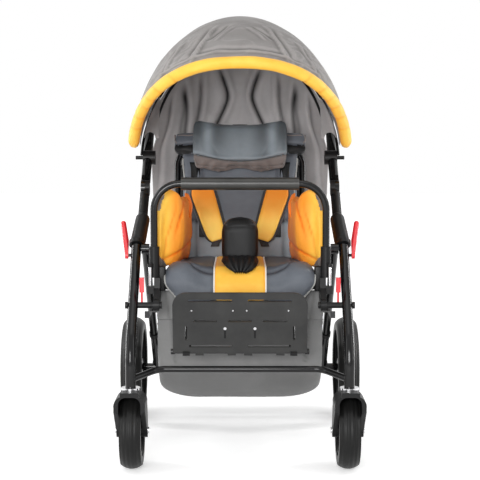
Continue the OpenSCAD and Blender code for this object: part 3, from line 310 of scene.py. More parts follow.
# a lighter copy of the orange cloth for the rim: painted light for the brightly lit rim
rimCloth = clothFinish(
    "rimCloth", (1.0, 0.47, 0.034), (1.0, 0.67, 0.1), **orangeWeave, rough=0.42, paintedShadeTone=(0.9, 0.17, 0.006))
# the flap's cloth is the orange in painted shade, darker and redder, close to the orange cloth's own shade
# tone
orangeInPaintedShade = clothFinish(
    "orangeInPaintedShade", (0.86, 0.16, 0.008), (0.95, 0.26, 0.016), 0.0012, 0.0003, rough=0.6, sheen=0.1)
taupeCloth = clothFinish(
    "taupeCloth", (0.13, 0.11, 0.104), (0.22, 0.19, 0.18), 0.0011, 0.0003, rough=0.75, tuck=0.8)
blackCloth = clothFinish(
    "blackCloth", (0.004, 0.004, 0.0042), (0.01, 0.01, 0.0105), 0.0016, 0.0004, rough=0.36, sheen=0.0,
    tuck=0.6, gloss=0.22)
bindingCloth = clothFinish(
    "bindingCloth", (0.02, 0.02, 0.0215), (0.042, 0.042, 0.0445), 0.0013, 0.0003, rough=0.7)
basketCloth = clothFinish(
    "basketCloth", (0.182, 0.182, 0.181), (0.26, 0.26, 0.258), 0.0026, 0.0006, useUv=True, tuck=0.6)
paleTrim = clothFinish("paleTrim", (0.3, 0.3, 0.285), (0.42, 0.42, 0.4), 0.0012, 0.0002)
whiteTrim = clothFinish("whiteTrim", (0.75, 0.74, 0.71), (0.9, 0.89, 0.86), 0.0012, 0.0002)

# circumferential ribs on the tyres, and only the thin rods left bright
tread = tyreRubber.node_tree
treadPlace = add(tread, "ShaderNodeTexCoord").outputs["Object"]
ribs = add(tread, "ShaderNodeTexWave", Vector=treadPlace, Scale=30.0, Detail=0.0)
ribBump = add(tread, "ShaderNodeBump", Strength=0.7, Distance=0.0016, Height=ribs.outputs["Fac"])
feed(tread, tread.nodes["Bump"].inputs["Normal"], ribBump.outputs["Normal"])

finishOf = {
    "frame_paint": tubePaint, "black_plastic": mouldedBlack, "bright_metal": brightPlate, "foam": foamSleeve,
    "tyre": tyreRubber, "grey_cloth": canopyCloth, "slate_cloth": slateCloth, "orange_cloth": orangeCloth,
    "black_cloth": blackCloth, "red_plastic": redMoulding, "plate_plastic": plateGrey,
}
for part in frame["record"]["subparts"]:
    mesh = nodes[part["node"]].data
    mesh.materials.clear()
    mesh.materials.append(finishOf[part["material_slot"]])
rods = {"node": "tilt_rods", "low": 0.437, "high": 0.481}
rodMesh = nodes[rods["node"]].data
rodMesh.materials.append(mouldedBlack)
rodPlace = nodes[rods["node"]].matrix_world
for f in rodMesh.polygons:
    f.material_index = 0 if rods["low"] < (rodPlace @ f.center).z < rods["high"] else 1
for name in ("tilt_bolts", "seat_frame"):
    nodes[name].data.materials[0] = mouldedBlack
print("finishes laid on the frame")


# shared ways of making pieces

def outward(bm):
    bmesh.ops.recalc_face_normals(bm, faces=bm.faces[:])


def smoothAll(piece):
    piece.data.polygons.foreach_set("use_smooth", [True] * len(piece.data.polygons))


def roundOff(piece):
    mod = piece.modifiers.new("round", "SUBSURF")
    mod.levels = mod.render_levels = 1


def finishPiece(name, bm, mats, body, replaced=(), smooth=True):
    outward(bm)
    piece = newObject(name, bm, mats)
    if smooth:
        smoothAll(piece)
    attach(piece, body)
    if replaced:
        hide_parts(*replaced)
    return piece


def flatGrid(cells):
    bm = bmesh.new()
    bmesh.ops.create_grid(bm, x_segments=cells[0], y_segments=cells[1], size=0.5)
    return bm


def gridMesh(cells, shape, span):
    bm = flatGrid(cells)
    uv = bm.loops.layers.uv.new("weave")
    # a point may come back with a painted-shade value, kept in a float layer for the cloth finishes
    tuck = bm.verts.layers.float.new("tuck")
    for face in bm.faces:
        for loop in face.loops:
            loop[uv].uv = ((loop.vert.co.x + 0.5) * span[0], (loop.vert.co.y + 0.5) * span[1])
    for v in bm.verts:
        made = shape(v.co.x + 0.5, v.co.y + 0.5)
        if isinstance(made, tuple):
            made, v[tuck] = made
        v.co = made
    return bm


def clothPiece(name, cells, shape, span, mat, body, replaced, thick):
    bm = gridMesh(cells, shape, span)
    area = sum(f.calc_area() for f in bm.faces)
    piece = finishPiece(name, bm, [mat], body, replaced)
    mod = piece.modifiers.new("clothThickness", "SOLIDIFY")
    mod.thickness = thick
    mod.offset = -1
    return piece, area


def padMesh(cells, shape):
    bm = flatGrid(cells)
    fronts = bm.verts[:]
    made = bmesh.ops.extrude_face_region(bm, geom=bm.faces[:])
    rears = [g for g in made["geom"] if isinstance(g, bmesh.types.BMVert)]
    for verts, under in ((fronts, False), (rears, True)):
        for v in verts:
            v.co = shape(v.co.x + 0.5, v.co.y + 0.5, under)
    return bm


def settled(piece):
    return piece.evaluated_get(bpy.context.evaluated_depsgraph_get())


def tubeMesh(line, radius, sides=10, closed=False):
    curve = bpy.data.curves.new("line", "CURVE")
    curve.dimensions = "3D"
    curve.bevel_depth = radius
    curve.bevel_resolution = sides // 4
    curve.use_fill_caps = True
    spline = curve.splines.new("POLY")
    spline.points.add(len(line) - 1)
    for p, co in zip(spline.points, line):
        p.co = (*co, 1)
    spline.use_cyclic_u = closed
    holder = linked("line", curve)
    mesh = bpy.data.meshes.new_from_object(settled(holder))
    bm = bmesh.new()
    bm.from_mesh(mesh)
    bpy.data.objects.remove(holder)
    bpy.data.meshes.remove(mesh)
    bpy.data.curves.remove(curve)
    bmesh.ops.remove_doubles(bm, verts=bm.verts[:], dist=0.00001)
    return bm


def ribbonMesh(line, half, thick):
    bm = bmesh.new()
    across = Vector((half, 0, 0))
    last = None
    for p in line:
        pair = [bm.verts.new(p - across), bm.verts.new(p + across)]
        if last:
            bm.faces.new((last[0], last[1], pair[1], pair[0]))
        last = pair
    outward(bm)
    bmesh.ops.solidify(bm, geom=bm.faces[:], thickness=thick)
    return bm


def boxInto(bm, low, high):
    made = bmesh.ops.create_cube(bm, size=1.0)
    middle, size = (Vector(low) + Vector(high)) / 2, Vector(high) - Vector(low)
    for v in made["verts"]:
        v.co = at(*(middle + Vector(v.co[k] * size[k] for k in range(3))))


def bevelAll(bm, offset, segments):
    bmesh.ops.bevel(
        bm, geom=bm.edges[:], offset=offset, offset_type="OFFSET", affect="EDGES", segments=segments,
        profile=0.5, material=-1)


clothSim = {
    "quality": 4, "mass": 0.3, "tension_stiffness": 12, "compression_stiffness": 12, "bending_stiffness": 0.4,
    "use_pressure": True,
}


def puff(piece, voxel, pressure, cap, steps=16):
    bpy.context.view_layer.objects.active = piece
    piece.data.remesh_voxel_size = voxel
    bpy.ops.object.voxel_remesh()
    rest = [v.co.copy() for v in piece.data.vertices]
    cloth = piece.modifiers.new("puff", "CLOTH")
    for key, value in clothSim.items():
        setattr(cloth.settings, key, value)
    cloth.settings.uniform_pressure_force = pressure
    cloth.settings.effector_weights.gravity = 0
    cloth.point_cache.frame_start = 1
    cloth.point_cache.frame_end = steps
    for step in range(1, steps + 1):
        scene.frame_set(step)
    moved = [v.co.copy() for v in settled(piece).data.vertices]
    piece.modifiers.remove(cloth)
    scene.frame_set(1)
    for v, a, b in zip(piece.data.vertices, rest, moved):
        step = b - a
        if step.length > cap:
            step *= cap / step.length
        v.co = a + step
    smoothAll(piece)


# sinks each point along its normal by the depth that sunk gives, and stores the painted-shade value it gives
# beside it
def sew(piece, sunk, place):
    tuck = piece.data.attributes.new("tuck", "FLOAT", "POINT")
    moves = []
    for v in piece.data.vertices:
        depth, shade = sunk(*place(v.co))
        moves.append(v.normal * depth / 1000)
        tuck.data[v.index].value = min(1.0, max(0.0, shade))
    for v, move in zip(piece.data.vertices, moves):
        v.co -= move


def plump(piece, size, seams, place):
    puff(piece, *size["soft"])
    sew(piece, seams, place)
    roundOff(piece)


def treeOf(piece):
    bm = bmesh.new()
    bm.from_mesh(piece.data)
    tree = BVHTree.FromBMesh(bm)
    bm.free()
    return tree


def castOn(tree, origin, target, lift=0.0):
    aim = (target - origin).normalized()
    hit = tree.ray_cast(origin, aim)[0]
    return hit - aim * lift if hit else None


def lineOn(tree, rays, lift=0.0):
    hits = (castOn(tree, origin, target, lift) for origin, target in rays)
    return [p for p in hits if p]


def mirrored(shape, side):
    def made(*place):
        p = shape(*place)
        p.x *= side
        return p

    return made


# canopy: arch shapes about the hub axis, as in the frame; a ridge has a height, two ends (x, v) and a width

canopy = {
    "y": 460, "z": 744.05, "wide": 285, "high": 383, "rise": 7, "frontRound": 2.3, "rearRound": 2.0,
    "frontLean": 50, "rearLean": 33, "overlap": 12, "lap": 6, "edge": 84, "rimD": 30, "bow": 8, "cloth": 2.5,
    "layer": 11.3, "gap": 0.7, "skin": 0.0016, "cells": (220, 110), "rearCells": (90, 36),
    "ridges": (
        (6, (58, 0.4), (124, 1.0), 6), (-5, (76, 0.4), (144, 1.0), 8), (4.5, (140, 0.5), (206, 1.0), 6),
        (-4, (156, 0.5), (222, 1.0), 8), (4, (14, 0.5), (66, 0.76), 5), (-4, (28, 0.46), (88, 0.74), 6),
    ),
}
rearPanelW = canopy["wide"] - canopy["layer"]
rearPanelH = canopy["high"] - canopy["layer"]
rearBowIn = canopy["cloth"] + canopy["gap"] + canopy["bow"] / 2
rearBowW, rearBowH = rearPanelW - rearBowIn, rearPanelH - rearBowIn


def archX(t, w, power):
    s = sin(radians(t))
    return copysign(w * abs(s) ** (2 / power), s)


def archR(t, h, power):
    return h * abs(cos(radians(t))) ** (2 / power)


def canopyAt(x, r, lean, off=0.0):
    return leanedAt(canopy, x, -off, r, lean)


def archAt(t, wide, high, power, lean, off=0.0):
    return canopyAt(archX(t, wide, power), archR(t, high, power), lean, off)


def ridge(x, v, start, end, wide):
    t = (v - start[1]) / (end[1] - start[1])
    return hump(x, mix(start[0], end[0], t), wide) * ease(4 * t) * ease(4 * (1 - t)) if 0 < t < 1 else 0.0


def frontRuck(x, v):
    s = abs(x)
    ruck = -6 * sin(pi * v) ** 2 * (1 - (s / 300) ** 2)
    for height, *line in canopy["ridges"]:
        ruck += height * ridge(s, v, *line)
    hem = 1 + 0.5 * wobble(x / 35, 3.0, 0.4)
    seam = 0.925 + 0.012 * wobble(x / 60, 7.1, 2.0)
    ruck += hem * (3.5 * hump(v, seam, 0.014) - 4 * hump(v, seam - 0.04, 0.02))
    ruck += 3 * wobble(x / 52, v * 8, 1.3) * ease(3 * v)
    broad = 3.6 * (0.25 - abs(wobble(x / 62 + 1.2 * v, v * 5, 2.6)))
    fine = 2.4 * (0.25 - abs(wobble(x / 26, v * 11 + x / 90, 6.1))) * ease((s - 70) / 70)
    return ruck + (broad + fine) * ease(4 * v - 1.2)


def frontPanelShape(u, v):
    t = canopy["edge"] * (2 * u - 1)
    power = mix(canopy["rearRound"], canopy["frontRound"], v)
    rearEdge = canopy["overlap"] - canopy["lap"]
    x = archX(t, canopy["wide"], power)
    ruck = frontRuck(x, v)
    # painted shade in the hollows between the rucks, and painted highlight on the ridges, which get less
    # shade than the rest of the panel
    around = frontRuck(x + 5, v) + frontRuck(x - 5, v) + frontRuck(x, v + 0.014) + frontRuck(x, v - 0.014)
    hollow = around / 4 - ruck
    shade = 0.24 + (0.4 if hollow > 0 else 1.1) * hollow
    ruck *= ease(14 * min(u, 1 - u) + 0.2)
    ruck -= 7 * (1 - ease(2.2 * v))
    place = archAt(
        t, canopy["wide"] + ruck, canopy["high"] + canopy["rise"] * v + ruck, power,
        mix(rearEdge, canopy["frontLean"], v))
    return place, min(0.6, max(0.0, shade))


frontBow = {"wide": 277.5, "high": 379, "reach": 85, "off": -5}
bowLine = []
for k in range(121):
    bowLine.append(archAt(
        frontBow["reach"] * (k / 60 - 1), frontBow["wide"], frontBow["high"], canopy["frontRound"],
        canopy["frontLean"], frontBow["off"]))
finishPiece(
    "frontBow", tubeMesh(bowLine, canopy["bow"] / 2000, 12), [tubePaint], "canopy_front",
    ["front_bow"])

frontPanel, frontArea = clothPiece(
    "canopyFrontCloth", canopy["cells"], frontPanelShape, (1.05, 0.29), canopyCloth, "canopy_front",
    ["canopy_front_panel"], canopy["skin"])
min(frontArea, 0.35)


def rearPanelShape(u, v):
    ruck = -3 * sin(pi * v) ** 2 - 0.8
    ruck += 2.5 * wobble(u * 6, v * 4, 8.3) * sin(pi * v)
    ruck -= 3 * ease((v - 0.7) / 0.25)
    return archAt(
        canopy["edge"] * (2 * u - 1), rearPanelW + ruck, rearPanelH + ruck, canopy["rearRound"],
        mix(-canopy["rearLean"], canopy["overlap"], v))


rearPanel, rearArea = clothPiece(
    "canopyRearCloth", canopy["rearCells"], rearPanelShape, (1.02, 0.28), canopyCloth, "handle_frame",
    ["canopy_rear_panel"], canopy["skin"])
min(rearArea, 0.31)
print("canopy panels sewn", round(frontArea, 3), round(rearArea, 3))

# padded orange rim, creased where it bends down at the sides

rimPad = {"reach": 82, "cells": (300, 24), "creases": (33, 44, 51, 57, 64, 71), "depth": 1.4, "off": 0.3}


def rimLine(t):
    power = canopy["frontRound"]
    return Vector((archX(t, canopy["wide"] - 1, power), archR(t, canopy["high"] + canopy["rise"], power)))


def rimShape(u, v):
    t = rimPad["reach"] * (2 * u - 1)
    way = (rimLine(t + 0.4) - rimLine(t - 0.4)).normalized()
    p = 2 * pi * v
    crease = 0.0
    for place in rimPad["creases"]:
        crease += hump(abs(t) + 1.2 * sin(p) + 0.6 * wobble(place, t / 90, p), place, 0.8)
    crease *= 0.6 + 0.4 * sin(p)
    end = 1 - 0.35 * ease((abs(t) - rimPad["reach"] + 2.5) / 2.5)
    radius = canopy["rimD"] / 2 * end + 0.4 + 1.2 * wobble(t / 9, cos(p) * 1.4, sin(p) * 1.4)
    radius -= rimPad["depth"] * crease
    x, r = rimLine(t) + Vector((-way.y, way.x)) * radius * cos(p)
    off = canopy["rimD"] / 2 + rimPad["off"] + radius * sin(p)
    # painted shade on the rim's inner side and in its creases
    return canopyAt(x, r, canopy["frontLean"], off), 0.45 * ease(-cos(p)) + 0.3 * crease


rimMesh = gridMesh(rimPad["cells"], rimShape, (1.0, 0.09))
bmesh.ops.remove_doubles(rimMesh, verts=rimMesh.verts[:], dist=0.0002)
bmesh.ops.holes_fill(rimMesh, edges=[e for e in rimMesh.edges if e.is_boundary], sides=0)
rim = finishPiece("canopyRimPad", rimMesh, [rimCloth], "canopy_front", ["canopy_rim"])
roundOff(rim)

# hanging curtain: a narrow-waisted centre panel between two deep folds, pleats beside it

curtain = {
    "cells": (190, 70), "lowZ": 600, "lowY": 706, "half": 231.5, "hang": 1.2, "waist": 26, "waistAt": 0.29,
    "flareUp": 160, "flareDown": 200, "pleats": (104, 138, 172, 206), "flat": (0.64, 0.48), "spread": 0.09,
    "side": (222, 262, 58), "tape": (238, 323, 30, 79), "tapeD": 0.0092,
}


def rearAt(x, r, off=0.0):
    return canopyAt(x, r, -canopy["rearLean"], off)


def rearArch(x, drop):
    a = degrees(asin(min(1.0, abs(x) / (rearBowW - drop))))
    return archR(a, rearBowH - drop, canopy["rearRound"])


def curtainTop(x):
    return rearAt(x, rearArch(x, canopy["bow"] / 2 + curtain["hang"]))


def curtainFolds(x, v):
    s = abs(x)
    reach = curtain["flareUp"] if v < curtain["waistAt"] else curtain["flareDown"]
    edge = curtain["waist"] + reach * (sqrt((v - curtain["waistAt"]) ** 2 + 0.002) - 0.045)
    deep = 14 * hump(s, edge + 9, 6.5) * ease(6 * v)
    raised = 9 * hump(s, edge - 7, 9) + 8 * hump(s, edge + 27, 11)
    for k, pleat in enumerate(curtain["pleats"]):
        drift = pleat + 16 * sin(2.6 * v + k * 1.7) + 6 * wobble(v * 4, k, 0.3)
        deep += (9 + 2 * sin(k * 2.3)) * hump(s, drift, 7) * ease(5 * v)
        raised += 7 * hump(s, drift - 15, 9)
    return deep, raised


def curtainShape(u, v):
    x, y, z = buggyPlace(curtainTop(curtain["half"] * (2 * u - 1)))
    free = ease(5 * v) * ease(10 * min(u, 1 - u))
    deep, raised = curtainFolds(x, v)
    wave = (deep - 0.8 * raised + 5 * wobble(x / 46, v * 4, 2.2)) * free
    x *= 1 + curtain["spread"] * ease((v - 0.22) / 0.3)
    y = mix(y, curtain["lowY"], ease(v)) + wave
    # painted shade in the deep folds
    return at(x, y, mix(z, curtain["lowZ"], v)), 0.085 * max(0.0, deep * free - 1)


rearCurtain, curtainArea = clothPiece(
    "rearCurtain", curtain["cells"], curtainShape, (0.55, 0.45), curtainCloth, "handle_frame",
    ["canopy_curtain"], canopy["skin"])
tuple(curtainTop(0))
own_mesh(rearCurtain)
min(curtainArea, curtain["flat"][0] * curtain["flat"][1])


def gussetShape(u, v):
    near, far, low = curtain["side"]
    x = mix(near, far, u * (0.2 + 0.8 * ease(1.8 * v)))
    return rearAt(x, mix(low, rearArch(x, 0) - 3, v), 5 + 2 * sin(3 * u + 5 * v))


def tapeRays(side):
    wide, high, start, end = curtain["tape"]
    for k in range(40):
        t = radians(mix(start, end, k / 39))
        spot = rearAt(side * wide * sin(t), high * cos(t), 60)
        yield spot, spot + Vector((0, 1, 0))


curtainTree = treeOf(rearCurtain)
for side, word in bothSides:
    gusset, gussetArea = clothPiece(
        f"curtainGusset{word}", (14, 24), mirrored(gussetShape, side), (0.04, 0.14), curtainCloth,
        "handle_frame", (), canopy["skin"])
    max(0.00226, min(gussetArea, 0.0075))
    tape = tubeMesh(lineOn(curtainTree, tapeRays(side), 0.002), curtain["tapeD"] / 2)
    finishPiece(f"curtainTape{word}", tape, [blackCloth], "handle_frame")
print("rim and curtain sewn", round(curtainArea, 3))

# seat cushion, from the same side line as its solid

seat = {
    "frontY": 150, "frontZ": 430, "rearY": 455, "rearZ": 412, "rail": 20, "gap": 0.3, "wide": 386,
    "thick": 32, "wedge": 16, "endY": 438.5, "bendY": 160, "corner": 15, "lip": 38, "lipR": 40, "lipT": 13,
    "arcT": 17, "crown": 6, "stripe": 128, "notchX": 181, "notchY": 417, "soft": (0.005, 3.0, 0.004),
    "piping": 0.0021,
}
seatRise = seat["rail"] / 2 + seat["gap"] + seat["thick"]
seatTopFront = seat["frontZ"] + seatRise
seatTopRear = seat["rearZ"] + seatRise + seat["wedge"]


def seatShare(y):
    return (y - seat["frontY"]) / (seat["rearY"] - seat["frontY"])


def seatTop(y):
    return mix(seatTopFront, seatTopRear, seatShare(y))


seatStart = Vector((seat["endY"], seatTop(seat["endY"])))
seatEnd = Vector((seat["bendY"], seatTop(seat["bendY"])))
seatRun = (seatEnd - seatStart).length
seatDir = (seatEnd - seatStart) / seatRun
seatUp = Vector((seatDir.y, -seatDir.x))
lipArc = seat["lipR"] * pi / 2
seatPath = seatRun + lipArc + seat["lip"]


def seatLine(d):
    if d < seatRun:
        return seatStart + seatDir * d, seatUp
    a = min(pi / 2, (d - seatRun) / seat["lipR"])
    n = seatUp * cos(a) + seatDir * sin(a)
    return seatEnd - seatUp * seat["lipR"] + n * seat["lipR"] - seatUp * max(0.0, d - seatRun - lipArc), n


def overSeat(x, d, lift):
    p, n = seatLine(d)
    return at(x, p.x + n.x * lift, p.y + n.y * lift)


def seatThick(d):
    if d < seatRun:
        full = seat["thick"] + seat["wedge"] * seatShare(seatLine(d)[0].x)
        return mix(full, seat["arcT"], ease((d - seatRun + 45) / 45))
    return mix(seat["arcT"], seat["lipT"], ease((d - seatRun) / lipArc))


def seatHalf(d):
    lip = ease((d - seatRun - lipArc / 2) / (lipArc / 2 + seat["lip"]))
    half = seat["wide"] / 2 * (1 - 0.012 * sin(pi * min(1, d / seatRun)) - 0.17 * lip * lip)
    rear = ease((seatLine(d)[0].x - seat["notchY"] + 8) / 8)
    return mix(half, min(half, seat["notchX"]), rear)


def seatShape(u, v, under):
    d = seatPath * v
    edge = abs(2 * u - 1)
    crown = (seat["crown"] - 1) * (1 - edge ** 4) + 4 * (1 - ease(d / 60)) * (1 - edge ** 6)
    corner = seat["corner"] * ease((edge - 0.4) / 0.35) * hump(d, seatRun, 55)
    lift = crown + corner - (5 + corner) * edge ** 14 - 1 if not under else -seatThick(d) + 0.5
    return overSeat(seatHalf(d) * (2 * u - 1) * 0.99, d, lift)


# sink depth and painted shade: dark lines in the seams and at the stripe's edges, and painted shade over the
# seat top behind the curved seam
def seatSeams(x, y, z):
    s = abs(x)
    if not (y < 143 or z > seatTop(y) - 14):
        return 0.0, 0.0
    stripe = hump(s, seat["stripe"] / 2, 4.5)
    side = 0.6 * hump(s, 150 - 0.08 * (y - 200), 5) * ease((y - 190) / 20)
    cross = rear = 0.0
    if s > seat["stripe"] / 2:
        seamY = 136 + 4 * ease((s - 65) / 45) + 25 * ease((s - 110) / 30) + 135 * ease((s - 140) / 45)
        cross = hump(y, seamY, 4 + 14 * ease((s - 120) / 50))
        rear = 0.62 * ease((y - seamY) / 26)
    return 4.5 * stripe + 5.5 * cross + 4 * side, 0.3 * stripe + 0.8 * cross + 0.5 * side + rear


seatCushion = finishPiece(
    "seatCushion", padMesh((56, 50), seatShape), [slateCloth, orangeCloth], "seat",
    ["seat_cushion"])
plump(seatCushion, seat, seatSeams, buggyPlace)
for f in seatCushion.data.polygons:
    if abs(f.center.x) < seat["stripe"] / 2000 and (f.normal.z > 0.15 or f.normal.y < -0.3):
        f.material_index = 1

seatTree = treeOf(seatCushion)


def seatTrim(name, places, mat):
    line = lineOn(seatTree, ((overSeat(x, d, 60), overSeat(x, d, 0)) for x, d in places), 0.0006)
    finishPiece(name, tubeMesh(line, seat["piping"]), [mat], "seat")


bracket = {"low": (184, 133, 420), "high": (207, 150, 482), "round": 0.004}
for side, word in bothSides:
    stripeEdge = [(side * seat["stripe"] / 2, 20 + (seatPath - 26) * k / 59) for k in range(60)]
    seatTrim(f"seatStripePiping{word}", stripeEdge, whiteTrim)
    lipRun = [seatRun - 22 + (seatPath - seatRun + 18) * k / 39 for k in range(40)]
    seatTrim(f"seatLipPiping{word}", [(side * (seatHalf(d) * 0.99 - 5), d) for d in lipRun], paleTrim)
for side, word in bothSides:
    bm = bmesh.new()
    boxInto(bm, *((side * bracket[end][0], *bracket[end][1:]) for end in ("low", "high")))
    outward(bm)
    bevelAll(bm, bracket["round"], 3)
    finishPiece(f"railBracket{word}", bm, [mouldedBlack], "seat")
print("seat cushion sewn")

# back cushion, with shoulders that reach over the posts

back = {
    "y": 450, "z": 440, "lean": 15, "low": 19, "length": 377, "wide": 324, "shoulder": 370, "shoulderAt": 312,
    "thick": 38, "n": 9.5, "crown": 6, "band": (314, 338), "soft": (0.005, 3.0, 0.004),
    "edging": 0.002, "wing": 0.0018, "lift": 0.0003,
}
backTurn = radians(back["lean"])


def backAt(x, w, n):
    return leanedAt(back, x, -n, w, -back["lean"])


def backPlace(co):
    x, y, z = buggyPlace(co)
    y, z = y - back["y"], z - back["z"]
    return x, y * sin(backTurn) + z * cos(backTurn), -y * cos(backTurn) + z * sin(backTurn)


def backShape(u, v, under):
    w = mix(back["low"], back["length"], v)
    edge = abs(2 * u - 1)
    wide = mix(back["wide"], back["shoulder"], ease((w - back["shoulderAt"]) / 16)) / 2
    top = 1 - 0.06 * max(0.0, (w - back["length"] + 40) / 40) ** 2
    x = wide * top * (1 - 0.012 * sin(pi * v)) * (2 * u - 1) * 0.99
    crown = (back["crown"] - 2) * (1 - edge ** 3) * sin(pi * min(1, 0.1 + 0.85 * v))
    face = back["n"] + back["thick"] - 2 - 8 * edge ** 8 - 7 * max(0.0, 2 * v - 1) ** 10 + crown
    return backAt(x, w, back["n"] + 0.4 if under else face)


def waistLine(s):
    return 116 + 12 * ease((s - 60) / 80)


# sink depth and painted shade: dark lines in the seams and at the band's edges, and painted shade on the
# lowest part of the back, where it meets the seat
def backSeams(x, w, n):
    if n < 24:
        return 0.0, 0.0
    s = abs(x)
    rows = hump(w, back["band"][0] - 2, 4) + hump(w, back["band"][1] + 2, 4)
    sides = hump(s, 118 - 16 * ease((w - 90) / 160), 4.5) * ease((292 - w) / 20)
    waist = hump(w, waistLine(s), 5.5) * ease((s - 24) / 20)
    lap = 0.25 * ease((70 - w) / 40)
    return 3.5 * rows + 3.2 * sides + 4 * waist, 0.6 * rows + 0.45 * sides + 0.6 * waist + lap


backCushion = finishPiece(
    "backCushion", padMesh((50, 54), backShape), [slateCloth, blackCloth, headCloth], "back",
    ["back_cushion"])
plump(backCushion, back, backSeams, backPlace)
# the band rows take the black cloth; below the waist seam the back takes the lighter slate, painted light for
# that shaded lower part
for f in backCushion.data.polygons:
    x, w, n = backPlace(f.center)
    if back["band"][0] < w < back["band"][1] and n > 14:
        f.material_index = 1
    elif w < waistLine(abs(x)) and n > 14:
        f.material_index = 2

backTree = treeOf(backCushion)


def onBack(x, w):
    return castOn(backTree, backAt(x, w, 140), backAt(x, w, 0), back["lift"]) or backAt(x, w, 46)


for side, word in bothSides:
    edging = [onBack(side * (178 - 4 * hump(k, 0, 2)), 344 + 2.6 * k) for k in range(9)]
    edging += [onBack(side * (176 - 7.5 * k), 366 + 1.2 * sin(k)) for k in range(8)]
    finishPiece(
        f"shoulderPiping{word}", tubeMesh(edging, back["edging"]), [taupeCloth], "back")
    wing = [onBack(side * (156 - 9 * ease(k / 9)), 300 - 11 * k) for k in range(18)]
    finishPiece(f"wingPiping{word}", tubeMesh(wing, back["wing"]), [paleTrim], "back")
print("back cushion sewn")

# headrest: slate pillow, hollowed for the head, over a gathered taupe skirt in two scallops

head = {
    "low": 253, "long": 142, "wide": 248, "thick": 36, "n": 58.5, "wrap": 26, "skirt": 281, "skirtRise": 15,
    "hem": 118, "hemD": 0.0024, "soft": (0.0045, 4.0, 0.005),
}
headHalf = head["wide"] / 2


def skirtLine(x):
    return head["skirt"] + head["skirtRise"] * (abs(x) / headHalf) ** 2


def headShape(u, v, under):
    edge = 2 * u - 1
    scallop = 9 * (0.5 + 0.5 * cos(2 * pi * edge)) * (1 - ease(3 * v))
    corner = 4 * abs(edge) ** 14 * ease((v - 0.6) / 0.4)
    w = head["low"] + head["long"] * v + 1.5 + scallop - 5 * (1 - edge * edge) * ease(v) * v - corner
    bend = head["wrap"] * edge * edge
    puffed = (head["thick"] - 3) * (0.4 + 0.6 * sqrt(max(0.0, 1 - abs(2 * v - 1) ** 3.5)))
    sides = 1 - 0.05 * abs(2 * v - 1) ** 5
    return backAt(headHalf * edge * sides, w, head["n"] + bend + (0.5 if under else puffed))


# sink depth and painted shade: painted shade on the pillow's back and sides, in the hem seam and the skirt's
# gathers, and over the front except two side bands and the middle, which read as painted sheen
def headSeams(x, w, n):
    line = skirtLine(x)
    s = abs(x)
    if n < head["n"] + head["wrap"] * (x / headHalf) ** 2 + 8:
        return 0.0, 0.3
    seam = hump(w, line, 3.5)
    below = ease((line - w) / 14)
    fan = sin(s / 5.2 + 2.0 * wobble(x / 34, w / 24, 0.6) - (line - w) / 9)
    scallop = 1 - ((s - 62) / 62) ** 2
    pleat = hump(w, 270 - 5 * scallop, 2.2) + hump(w, 262 - 4 * scallop, 2)
    above = ease((w - line) / 16)
    cheeks = 4 * hump(s, 50, 40) * above * ease((380 - w) / 50)
    paintedSheenBands = 0.85 * above * (1 - hump(s, 86, 14) - 0.6 * hump(s, 12, 36))
    paintedSheenBands *= 0.55 + 0.45 * ease((w - 300) / 60)
    rucks = 1.5 * hump(s - 0.6 * (w - line), 52, 5) * above * ease((330 - w) / 30)
    return (4 * seam + below * (4 + 1.5 * fan + 2.4 * pleat) + cheeks + rucks,
            0.7 * seam + below * (0.15 * fan + 0.45 * pleat) + paintedSheenBands)


headrest = finishPiece(
    "headrestPillow", padMesh((44, 28), headShape), [headCloth, taupeCloth], "headrest",
    ["headrest_pad"])
plump(headrest, head, headSeams, backPlace)
for f in headrest.data.polygons:
    x, w, n = backPlace(f.center)
    if w < skirtLine(x):
        f.material_index = 1

headTree = treeOf(headrest)
hemPlaces = ((x, skirtLine(x) + 1) for x in (head["hem"] * (k / 30 - 1) for k in range(61)))
hem = lineOn(headTree, ((backAt(x, w, 190), backAt(x, w, 0)) for x, w in hemPlaces))
finishPiece("headrestHem", tubeMesh(hem, head["hemD"] / 2), [bindingCloth], "headrest")
print("headrest sewn")

# harness: orange shoulder pads with dark binding, black webbing over the shoulders, buckles at the sides

harness = {
    "high": (108, 222), "low": (60, 70), "wide": 68, "taper": 0.24, "thick": 14, "n": 53.3, "webN": 50.0,
    "webX": 124.5, "webWide": 25, "webFrom": 226, "webLong": 62, "webThick": 0.0016, "bindingD": 0.0092,
    "tailX": 60, "tailFrom": 76, "tailWide": 22, "tailThick": 0.003,
}
harnessHigh, harnessLow = Vector(harness["high"]), Vector(harness["low"])
harnessWay = (harnessLow - harnessHigh).normalized()
harnessAcross = Vector((-harnessWay.y, harnessWay.x))
buckle = {"x": 100, "w": 98, "wide": 20, "tall": 36, "deep": 10}


def harnessLine(v, edge):
    half = harness["wide"] / 2 * (1.04 - harness["taper"] * v) * (1 - 0.4 * abs(2 * v - 1) ** 8)
    return harnessHigh.lerp(harnessLow, v) + harnessAcross * half * edge


def harnessShape(side):
    def shape(u, v, under):
        edge = 2 * u - 1
        p = harnessLine(v, edge * 0.97)
        dome = harness["thick"] * (0.4 + 0.6 * sqrt(max(0.0, 1 - edge ** 4)))
        dome += 1.6 * wobble(edge * 1.4, v * 6, side) * (1 - edge * edge)
        return backAt(side * p.x, p.y, harness["n"] + (0.0 if under else dome))

    return shape


# painted shade, darker towards the tops of the pads
def harnessShade(x, w, n):
    return 0.0, 0.85 * ease((w - 95) / 110)


def rounded(angle, power):
    return (copysign(abs(c) ** power, c) for c in (cos(angle), sin(angle)))


def bindingLine(side):
    for k in range(72):
        edge, v = rounded(2 * pi * k / 72, 0.35)
        p = harnessLine(0.5 + 0.5 * v, edge)
        yield backAt(side * p.x, p.y, harness["n"] + 4.2)


